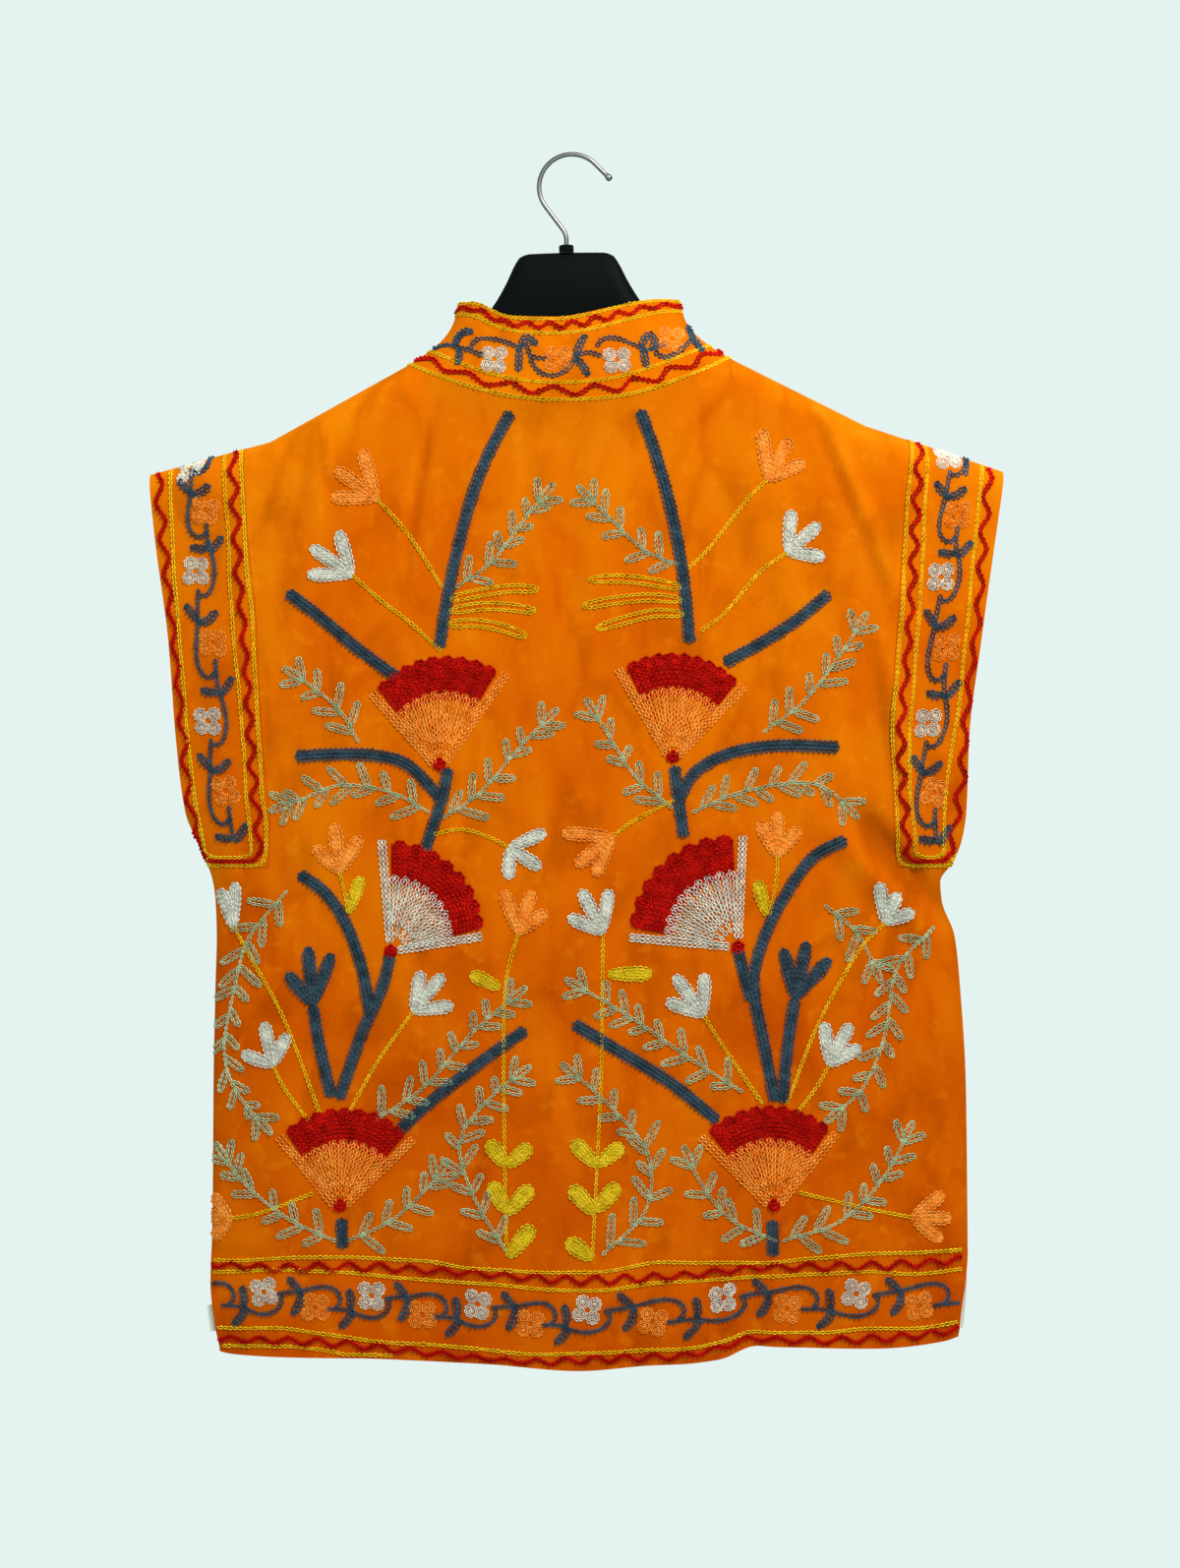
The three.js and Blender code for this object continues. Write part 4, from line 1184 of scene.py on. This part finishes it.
# ---- borders -------------------------------------------------------------------------------------
# A border is drawn in (s, h): s along it and h across it, in chart steps. Each has two trios, a red
# wave between two yellow lines, and the vine between the trios.
HEM_LINES = table(
    "s outer outer_red inner middle next next_red last",
    (208, 1284.5, 1289, 1297, 1321.5, 1353, 1364, 1372),
    (240, 1283, 1288.5, 1294, 1321, 1351.5, 1363, 1370),
    (280, 1280, 1289, 1291.5, 1321, 1350.5, 1362.5, 1368.5),
    (330, 1277.8, 1288, 1292.5, 1322, 1355.5, 1364, 1372),
    (380, 1279, 1288.5, 1296, 1324.5, 1362.5, 1369, 1381.5),
    (430, 1281.5, 1291, 1300.5, 1328.5, 1365.5, 1373.5, 1384),
    (480, 1289, 1293.5, 1303.7, 1331.5, 1369.5, 1378.5, 1386.5),
    (535, 1291.3, 1297.5, 1307.5, 1336.5, 1374.5, 1383, 1390),
    (600, 1292, 1300.5, 1310.5, 1337.5, 1373.5, 1380.5, 1391.5),
    (680, 1282.8, 1297, 1302.8, 1333.5, 1370, 1377, 1389),
    (735, 1283, 1291.5, 1299.7, 1325.5, 1362.5, 1368, 1380),
    (770, 1284, 1289.5, 1298.2, 1324, 1353.5, 1361, 1371),
    (830, 1278.7, 1287.5, 1295, 1322, 1354, 1362, 1370.5),
    (880, 1275, 1287, 1293, 1322, 1350.7, 1360.7, 1371),
    (930, 1273.5, 1285.5, 1295.5, 1321, 1350.5, 1358.5, 1367.5),
    (990, 1272.5, 1283, 1292, 1318, 1345, 1353, 1361),
)
SLEEVE_LINES = {
    "left": table(
        "s inner inner_red next last outer_red outer",
        (450, 243.6, 235.5, 226.8, 169.5, 156, 149.5), (500, 246.8, 238.5, 229.7, 172.5, 160.5, 153.5),
        (547, 248.7, 241, 232.5, 175, 165, 158), (588, 252.5, 243, 233.5, 177.5, 169.5, 162.5),
        (630, 257.5, 247, 236.5, 180.5, 174, 168), (700, 259.8, 252, 243.2, 185.5, 181, 174.5),
        (752, 263, 255, 246.8, 190.5, 185.5, 179), (803, 266.5, 258.5, 249.5, 196, 190, 184.5),
        (840, 270.5, 262.5, 253.5, 201, 195.5, 191), (884, 269, 263, 256.5, 208, 203.5, 200),
    ),
    "right": table(
        "s inner inner_red next last outer_red outer",
        (440, 928.5, 935, 941.5, 1003, 1012, 1024), (480, 925.3, 933, 941.5, 999, 1006, 1018),
        (530, 921.3, 930, 939, 994, 1001.5, 1012.5), (572, 918.3, 928, 938, 989, 998.5, 1007.5),
        (620, 916, 925, 933.5, 984.5, 995.5, 1001), (682, 912, 920.5, 929, 979, 988, 993.5),
        (725, 907.8, 916.5, 926.5, 975, 983.5, 988.5), (755, 907.5, 915.5, 924.5, 969, 982, 985.5),
        (800, 910.5, 917, 925, 962.5, 978, 984), (840, 912.5, 921, 929, 960.5, 972, 981.5),
        (884, 915, 923.5, 932, 962, 965, 976),
    ),
}
HEM_ROOM = 3  # between the lowest stitches and the hem's edge, in millimetres
LAST_ENDS = 400  # where the hem's lowest line has run out
# For each sleeve, the way from its cuff to its armhole along x, and about where s meets the shoulder.
SLEEVE_SIDES = {"left": (1, 449), "right": (-1, 441)}
UNDERARM_LINE = 881.0
BOW_HIGH = 14
BOW_CORNERS = ((3, 3), (10, 0))  # in from the bow's side and up from its floor
VINE_ABOVE = 18  # between the vine's end and the underarm line

# One repeat of the vine, from one white flower to the next: shares of the repeat along, and steps
# across from the border's middle.
WHITE_AT = (0.0, 7.2)
ORANGE_AT = (0.48, -7.3)
VINE = (
    ((-0.2, -8.5), (-0.13, -12.8), (0, -15.5), (0.11, -11.5), (0.167, -3.5), (0.16, 4)),
    ((0.12, 5.2), (0.21, 7.2), (0.34, 9), (0.43, 11.5), (0.54, 14), (0.646, 12.5), (0.708, 5.2),
     (0.708, -2.3), (0.669, -7.3)),
    ((0.585, -8.5), (0.7, -8), (0.8, -9)),
)
TWIGS = (
    ((0.34, 7.5), (0.3, 13), (0.225, 22.5)), ((0.345, 7), (0.33, -4), (0.265, -15)),
    ((0.806, -8), (0.81, 2), (0.79, 12.5)), ((0.83, -10), (0.78, -19), (0.705, -27)),
)


def course(lines, name):
    """One line of a border, as a function of s."""
    return lambda s: read(lines, "s", name, s)


def line(start, end, place, across, sway=0.5):
    """A yellow border line at across(s), a little uneven."""
    s = np.linspace(start, end, max(8, int(abs(end - start) / 4)))
    wander = sway * np.sin(s / 31.0 + start) + 0.6 * sway * np.sin(s / 12.0 + end)
    stitch("yellow", np.stack([s, across(s) + wander], 1), place)


def wave(start, end, place, across, height=3.7, length=31.0):
    """A red zigzag with soft turns about across(s), uneven in height and length."""
    s = np.linspace(start, end, max(8, int(abs(end - start) / 1.2)))
    phase = 2 * math.pi * (s - start) / length + 0.5 * np.sin(s / 57.0 + start)
    rounded = np.sin(phase) - 0.1 * np.sin(3 * phase)
    tall = height * (1 + 0.22 * np.sin(s / 43.0 + end))
    stitch("red", np.stack([s, across(s) + tall * rounded], 1), place)


def vine(start, end, whites, place, squeeze=1.0, size=16.5):
    """The blue vine and its flowers: a white one at each place in `whites`, and an orange one after
    it. What would pass the border's ends is left out."""
    for origin, following in zip(whites[:-1], whites[1:]):
        length = following - origin

        def put(points):
            points = np.asarray(points, float)
            return np.stack([origin + points[:, 0] * length, squeeze * points[:, 1]], 1)

        for points in VINE:
            path = curve(put(points))
            inside = path[(path[:, 0] > start) & (path[:, 0] < end)]
            if len(inside) > 4:
                stitch("vine", inside, place)
        for points in TWIGS:
            twig = put(points)
            if start + 2 < twig[:, 0].min() and twig[:, 0].max() < end - 2:
                hairpin("vine", twig, 2.1, place)
        for colour, at in (("white", WHITE_AT), ("orange", ORANGE_AT)):
            middle = put([at])[0]
            if start + 10 < middle[0] < end - 10:
                blossom(colour, middle, place, size)


def hem_border(side, start, end, whites):
    """The border over a stretch of the hem."""
    def of(name):
        return course(HEM_LINES, name)

    def place(points):
        s, h = points.T
        hem_z = read(HEM, "x", "z", (s - CHART_X) * CHART_STEP)
        lowest = CHART_Y - (hem_z + HEM_ROOM) / CHART_STEP
        return on_chart(np.stack([s, np.minimum(h, lowest)], 1), side)

    def from_middle(points):
        s, h = points.T
        return place(np.stack([s, of("middle")(s) - h], 1))

    for name in ("outer", "inner", "next"):
        line(start, end, place, of(name))
    # The lowest line runs out at the hem's edge. In a stretch that starts past that place, it is
    # drawn from there to the stretch's start.
    line(start, min(end, LAST_ENDS), place, of("last"))
    wave(start, end, place, of("outer_red"))
    wave(start, end, place, of("next_red"), 3.2)
    vine(start, end, whites, from_middle)


def sleeve_border(hand, side, whites):
    """The border down one face of a sleeve, with the trios joined in a bow at the underarm."""
    sign, top = SLEEVE_SIDES[hand]
    bow = UNDERARM_LINE - BOW_HIGH

    def of(name):
        return course(SLEEVE_LINES[hand], name)

    def place(points):
        return on_chart(points[:, ::-1], side)

    def from_middle(points):
        s, h = points.T
        middle = (of("next")(s) + of("last")(s)) / 2
        return on_chart(np.stack([middle - h, s], 1), side)

    def start_of(name):
        x = (of(name)(top) - CHART_X) * CHART_STEP
        return CHART_Y - float(shoulder(x)) / CHART_STEP + 2

    for name in ("inner", "next", "last"):
        line(start_of(name), bow, place, of(name))
    wave(start_of("inner_red"), bow + 2, place, of("inner_red"), length=33.0)
    wave(start_of("outer_red"), bow + 2, place, of("outer_red"), length=38.0)
    for kind, from_line, to_line, low in (
        ("yellow", "next", "last", 9.0), ("red", "inner_red", "outer_red", 5.0),
        ("yellow", "inner", "outer", 1.0),
    ):
        start = float(of(from_line)(bow))
        end = float(of(to_line)(bow))
        floor_line = UNDERARM_LINE - low
        stitch(kind, curve([
            (start, bow), *((start - sign * into, floor_line - up) for into, up in BOW_CORNERS),
            ((start + end) / 2, floor_line),
            *((end + sign * into, floor_line - up) for into, up in BOW_CORNERS[::-1]), (end, bow),
        ]), lambda points: on_chart(points, side))
    vine(top, UNDERARM_LINE - VINE_ABOVE, whites, from_middle, squeeze=0.85)


for side, start, end in (("back", 209, 980), ("front", 211, 574), ("front", 581, 980)):
    hem_border(side, start, end, (159, 268, 377.5, 485.5, 597, 735, 870, 1005))
for hand, whites in (("left", (462, 581, 733, 881)), ("right", (463, 587, 735, 883))):
    for side in ("back", "front"):
        sleeve_border(hand, side, whites)

# The collar: s and h in chart steps, s from the centre back to the right and h from the base up.
COLLAR_HIGH = 62.0 / CHART_STEP
COLLAR_MIDDLE = 42.0
COLLAR_SIDE = 148.0  # where the vine at the back gives way to the one at the sides
collar_turns = np.linspace(-179, 179, 360)
collar_line = collar_point(collar_turns, np.full_like(collar_turns, 0.5)) / CHART_STEP
collar_length = run_length(collar_line)
collar_length -= np.interp(0, collar_turns, collar_length)
COLLAR_ENDS = collar_length[-1] - 4


def collar_surface(turn, up):
    across = collar_point(turn + 0.5, up) - collar_point(turn - 0.5, up)
    rise = collar_point(turn, up + 0.01) - collar_point(turn, up - 0.01)
    return collar_point(turn, up), unit(np.cross(across, rise))


def on_collar(points):
    s, h = points.T
    return collar_surface(np.interp(s, collar_length, collar_turns), h / COLLAR_HIGH)


NEWTON_STEPS = 20
LEAST_AREA = 8.0  # of a step by turn and one by height, seen from the back
LONGEST_TURN = 8.0
LONGEST_UP = 0.2
LAST_TURN = 96.0


def on_collar_chart(points):
    """Points on the collar's back from the chart, found by Newton's steps."""
    x = (points[:, 0] - CHART_X) * CHART_STEP
    z = (CHART_Y - points[:, 1]) * CHART_STEP
    turn = np.degrees(np.arcsin(np.clip((x - NECK_X) / NECK_HALF, -0.95, 0.95)))
    up = np.full(len(x), 0.5)
    for _ in range(NEWTON_STEPS):
        here = collar_point(turn, up)
        turn_x, _, turn_z = (collar_point(turn + 1, up) - here).T
        up_x, _, up_z = ((collar_point(turn, up + 0.01) - here) * 100).T
        miss_x = x - here[:, 0]
        miss_z = z - here[:, 2]
        area = turn_x * up_z - turn_z * up_x
        area = np.where(np.abs(area) < LEAST_AREA, LEAST_AREA, area)
        turn_step = np.clip((miss_x * up_z - miss_z * up_x) / area, -LONGEST_TURN, LONGEST_TURN)
        up_step = np.clip((turn_x * miss_z - turn_z * miss_x) / area, -LONGEST_UP, LONGEST_UP)
        turn = np.clip(turn + turn_step, -LAST_TURN, LAST_TURN)
        up = np.clip(up + up_step, 0, 1)
    return collar_surface(turn, up)


COLLAR_YELLOWS = (0.5, 17.5, 67.0, 81.5)  # each line's h
COLLAR_REDS = ((9.0, 3.7, 34.0), (74.5, 3.2, 28.0))  # each wave's h, height and length
COLLAR_STEMS = (
    ((439, 354), (449, 350), (459, 351), (464, 353)),
    ((463, 353), (477, 357), (491, 363)),
    ((478, 356), (483, 347), (493, 345), (511, 348), (525, 354), (529, 355)),
    ((535, 352), (539, 363), (543, 375), (553, 383), (565, 384), (577, 378), (583, 369), (585, 365)),
    ((540, 365), (547, 366), (556, 367)),
    ((585, 365), (597, 360), (611, 364)),
    ((607, 355), (611, 347), (625, 345), (639, 350), (651, 355)),
    ((655, 358), (666, 355), (677, 350)),
    ((665, 359), (675, 365), (689, 359), (699, 349), (704, 342)),
)
COLLAR_TWIGS = (
    ((463, 353), (465, 343), (472, 337), (481, 338)), ((467, 355), (467, 363), (466, 372)),
    ((528, 355), (528, 368), (527, 381)), ((530, 355), (532, 347), (538, 346), (546, 353)),
    ((585, 364), (589, 353), (595, 342)), ((585, 366), (593, 375), (598, 385)),
    ((653, 356), (655, 365), (657, 376)), ((652, 356), (655, 345), (662, 342), (666, 350), (660, 357)),
    ((703, 341), (702, 335), (700, 328)), ((704, 342), (709, 349), (714, 357)),
)
for h in COLLAR_YELLOWS:
    line(-COLLAR_ENDS, COLLAR_ENDS, on_collar, lambda s, h=h: h, 0.4)
for h, height, length in COLLAR_REDS:
    wave(-COLLAR_ENDS, COLLAR_ENDS, on_collar, lambda s, h=h: h, height, length)
for points in COLLAR_STEMS:
    stitch("vine", curve(points), on_collar_chart)
for points in COLLAR_TWIGS:
    hairpin("vine", points, 1.8, on_collar_chart)
for colour, middle in (
    ("white", (502.6, 367)), ("orange", (567, 367)), ("white", (627, 368)), ("orange", (683, 345)),
):
    blossom(colour, middle, on_collar_chart, 16)


def on_collar_middle(points):
    return on_collar(points + (0, COLLAR_MIDDLE))


vine(COLLAR_SIDE, COLLAR_ENDS, (120, 240, 360), on_collar_middle, 0.8, 15.5)
vine(-COLLAR_ENDS, -COLLAR_SIDE, (-330, -210, -90), on_collar_middle, 0.8, 15.5)


# ---- the stitches' meshes ------------------------------------------------------------------------
# One strand of a link, from its start to its end: shares of the link's length, width and height.
# A strand's height share also sets its painted shade: darkest at its feet on the cloth and darker at the
# link's ends.
STRAND = ((-0.06, 0.0, 0.35), (0.32, 0.8, 0.95), (0.72, 1.0, 1.0), (1.08, 0.0, 0.4))
# The threads under the chain stitch are drawn darker, as painted shade between the strands.
FILL_SHADE = 0.3


def link_template():
    """The two strands of a link: points as (along, across, offset, height) in shares of its size,
    and faces."""
    points = []
    faces = []
    for hand in (-1, 1):
        first = len(points)
        for along, across, height in STRAND:
            for offset, up in ((-1, 0), (0, 1), (1, 0)):
                points.append((along, hand * across, offset, up * height))
        for k in range(len(STRAND) - 1):
            for m in range(2):
                a = first + 3 * k + m
                faces.append((a, a + 3, a + 4, a + 1))
    return np.array(points), np.array(faces)


def grid_faces(columns, rows, first):
    """Faces of a grid of points, numbered from `first`."""
    i, j = np.meshgrid(np.arange(columns - 1), np.arange(rows - 1), indexing="ij")
    a = first + (i * rows + j).ravel()
    return np.stack([a, a + rows, a + rows + 1, a + 1], 1)


def stitched_object(kind):
    """All chain stitch of one kind, and the threads under it. `shade` is a painted shade: it runs from
    0 where a strand meets the cloth to 1 on its crown, times a random tone for each link."""
    thread, width, _, height, strand_radius = LINKS[kind]
    lines = stitched[kind]
    starts = np.concatenate([points[:-1] for points, _ in lines])
    along = np.concatenate([points[1:] for points, _ in lines]) - starts
    up = unit(np.concatenate([(facing[:-1] + facing[1:]) / 2 for _, facing in lines]))
    across = unit(np.cross(up, along))
    count = len(starts)
    template, faces = link_template()
    share_along, share_across, offset, rise = template.T[:, None, :, None]
    uneven = 1 + 0.12 * rng.standard_normal((count, 1, 1))
    sideways = share_across * (width / 2 - strand_radius) * uneven + offset * strand_radius
    lift = rise * (height + SINK) * uneven - SINK
    points = (
        starts[:, None] + share_along * along[:, None]
        + across[:, None] * sideways + up[:, None] * lift
    ).reshape(-1, 3)
    # Painted shade: darkest where a strand meets the cloth, times a random tone for each link.
    tone = np.clip(0.85 + 0.12 * rng.standard_normal((count, 1)), 0.5, 1)
    shade = (tone * rise[..., 0]).ravel()
    all_faces = [(faces[None] + np.arange(count)[:, None, None] * len(template)).reshape(-1, 4)]
    first = len(points)
    parts = [points]
    for grid in filled[kind]:
        all_faces.append(grid_faces(*grid.shape[:2], first))
        parts.append(grid.reshape(-1, 3))
        first += grid.shape[0] * grid.shape[1]
    made = make_object(
        f"stitches_{kind}", np.concatenate(parts), np.concatenate(all_faces).tolist(), [THREADS[thread]]
    )
    store(made, "shade", np.concatenate([shade, np.full(first - len(shade), FILL_SHADE)]))
    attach(made, "root")


for kind in LINKS:
    stitched_object(kind)


# ---- hanger and hook -----------------------------------------------------------------------------
HANGER = table(
    "x top bottom thick",
    (0, -73, -140, 15), (28, -73.5, -141, 15), (35.5, -76, -143, 15), (40, -82.5, -146, 15),
    (46, -94.8, -150, 15), (56, -111.5, -157, 15), (70, -127.5, -166, 15.5), (90, -144, -178, 14),
    (120, -160.8, -191, 14), (160, -180, -209, 21), (214, -208, -232, 30),
)
HANGER_END = 214.0
HANGER_ROUND = 4.0
HANGER_STEPS = 90
HANGER_SIDES = 48
HANGER_SMOOTH = 60  # degrees between faces
NECK_TOP = -73.0
FERRULE_TOP = NECK_TOP + 5.2
HOOK_WIRE = 3.5
HOOK_SIDES = 24
HOOK_RADIUS = 25.0
HOOK_X = 3.2  # of the arc's centre
HOOK_END = math.radians(45)
HOOK_TAIL = 16.0
HOOK_LEFT = math.radians(217)
HOOK_BEND = 5.0
HOOK_TIP_BALL = 2.5


def loft(name, rings, material):
    """A solid through rings of points, capped at both ends."""
    count, sides = rings.shape[:2]
    faces = []
    for first in range(0, (count - 1) * sides, sides):
        for k in range(sides):
            a = first + k
            b = first + (k + 1) % sides
            faces.append((a, b, b + sides, a + sides))
    faces.append(tuple(range(sides))[::-1])
    faces.append(tuple(range((count - 1) * sides, count * sides)))
    return make_object(name, rings.reshape(-1, 3), faces, [material], smooth_angle=HANGER_SMOOTH)


def hanger_body():
    """Oval rings from one end to the other, in the hanger's upright frame and then tilted."""
    tip = np.linspace(0, 1, 9)[1:]
    half_x = np.concatenate([np.linspace(0, HANGER_END, HANGER_STEPS), HANGER_END + HANGER_ROUND * tip])
    size = np.concatenate([np.ones(HANGER_STEPS), np.sqrt(np.maximum(1 - tip**2, 0.002))])
    x = np.concatenate([-half_x[:0:-1], half_x])[:, None]
    size = np.concatenate([size[:0:-1], size])[:, None]
    angle = np.linspace(0, 2 * math.pi, HANGER_SIDES, endpoint=False)
    top, bottom, thick = (read(HANGER, "x", name, np.abs(x)) for name in ("top", "bottom", "thick"))
    y = -np.sin(angle) * (thick * size / 2)
    z = (top + bottom) / 2 + (top - bottom) / 2 * size * np.cos(angle)
    tilted_x = x * math.cos(HANGER_TILT) - z * math.sin(HANGER_TILT) + HANGER_X
    tilted_z = x * math.sin(HANGER_TILT) + z * math.cos(HANGER_TILT)
    return loft("hanger", np.stack([tilted_x, y, tilted_z], -1), PLASTIC)


def hook():
    """A straight tail with a ball at its end, the arc, a bend, and the shank down to the neck."""
    inner = HOOK_RADIUS - HOOK_WIRE / 2
    centre_z = -math.sqrt(inner**2 - HOOK_X**2)

    def on_arc(angle, out=0.0):
        return np.array([
            HOOK_X + HOOK_RADIUS * math.cos(angle) + out * math.sin(angle),
            centre_z + HOOK_RADIUS * math.sin(angle) - out * math.cos(angle),
        ])

    tail = [on_arc(HOOK_END, HOOK_TAIL * (1 - t)) for t in np.linspace(0, 1, 9)[:-1]]
    arc = [on_arc(angle) for angle in np.linspace(HOOK_END, HOOK_LEFT, 80)]
    foot_x = HANGER_X - NECK_TOP * math.sin(HANGER_TILT)
    shank = np.array([-math.sin(HOOK_LEFT), math.cos(HOOK_LEFT)])
    corner = arc[-1] + shank * (foot_x - arc[-1][0]) / shank[0]
    bend_start = corner - shank * HOOK_BEND
    bend_end = corner - np.array([0, HOOK_BEND])
    bend = [
        (1 - t) ** 2 * bend_start + 2 * t * (1 - t) * corner + t**2 * bend_end
        for t in np.linspace(0, 1, 16)
    ]
    foot = np.array([foot_x, FERRULE_TOP])
    path = np.array([*tail, *arc, *bend, mix(bend_end, foot, 0.5), foot])
    along = unit(np.gradient(path, axis=0))
    across = np.stack([along[:, 1], -along[:, 0]], 1)
    radius = np.full(len(path), HOOK_WIRE / 2)
    # Two rings close together make the ball's round end.
    path = np.vstack([path[:1] - along[:1] * 1.2, path])
    across = np.vstack([across[:1], across])
    radius = np.concatenate([[HOOK_TIP_BALL * 0.6], radius])
    radius[1:3] = HOOK_TIP_BALL
    turn = np.linspace(0, 2 * math.pi, HOOK_SIDES, endpoint=False)
    radius = radius[:, None]
    x, z = path.T[..., None] + across.T[..., None] * radius * np.cos(turn)
    return loft("hook", np.stack([x, radius * np.sin(turn), z], -1), STEEL)


body = hanger_body()
stand_for(body, "hanger_body")
stand_for(hook(), "hanger_hook")
for part in bpy.data.objects:
    for part_name, material in (("hanger_ferrule", PLASTIC), ("side_label", TAPE)):
        if part.type == "MESH" and part_name in part.name:
            part.data.materials.clear()
            part.data.materials.append(material)


# ---- lights, floor and camera --------------------------------------------------------------------
def area_light(name, place, aim, size, power, colour):
    data = bpy.data.lights.new(name, "AREA")
    data.shape = "DISK"
    data.size = size
    data.energy = power
    data.color = colour
    made = add_object(name, data)
    made.location = place
    made.rotation_euler = (Vector(aim) - Vector(place)).to_track_quat("-Z", "Y").to_euler()


area_light("key", (0.75, -1.5, 1.1), (0, 0, -0.4), 0.7, 61, (1, 0.99, 0.97))
area_light("fill", (-1.8, -2.0, 0.0), (0, 0, -0.5), 1.6, 7, (0.95, 1, 1))
area_light("behind", (0.3, 2.4, 0.8), (0, 0, -0.5), 1.5, 14, (1, 1, 1))

world = bpy.data.worlds.new("pale room")
bpy.context.scene.world = world
world.use_nodes = True
background = world.node_tree.nodes["Background"]
background.inputs["Color"].default_value = (*linear(229, 243, 240), 1)
background.inputs["Strength"].default_value = 1.0

FLOOR_HALF = 3000
FLOOR_Z = -2200
floor = make_object(
    "floor",
    [(FLOOR_HALF * x, FLOOR_HALF * y, FLOOR_Z) for x, y in ((-1, -1), (1, -1), (1, 1), (-1, 1))],
    [(0, 1, 2, 3)], [Look("floor", linear(226, 236, 232), 0.9).material],
)

camera = add_object("camera", bpy.data.cameras.new("camera"))
camera.data.lens = 50
camera.location = (0.017, -1.66, -0.478)
camera.rotation_euler = (math.pi / 2, 0, 0)
bpy.context.scene.camera = camera
bpy.context.scene.view_settings.view_transform = "Standard"
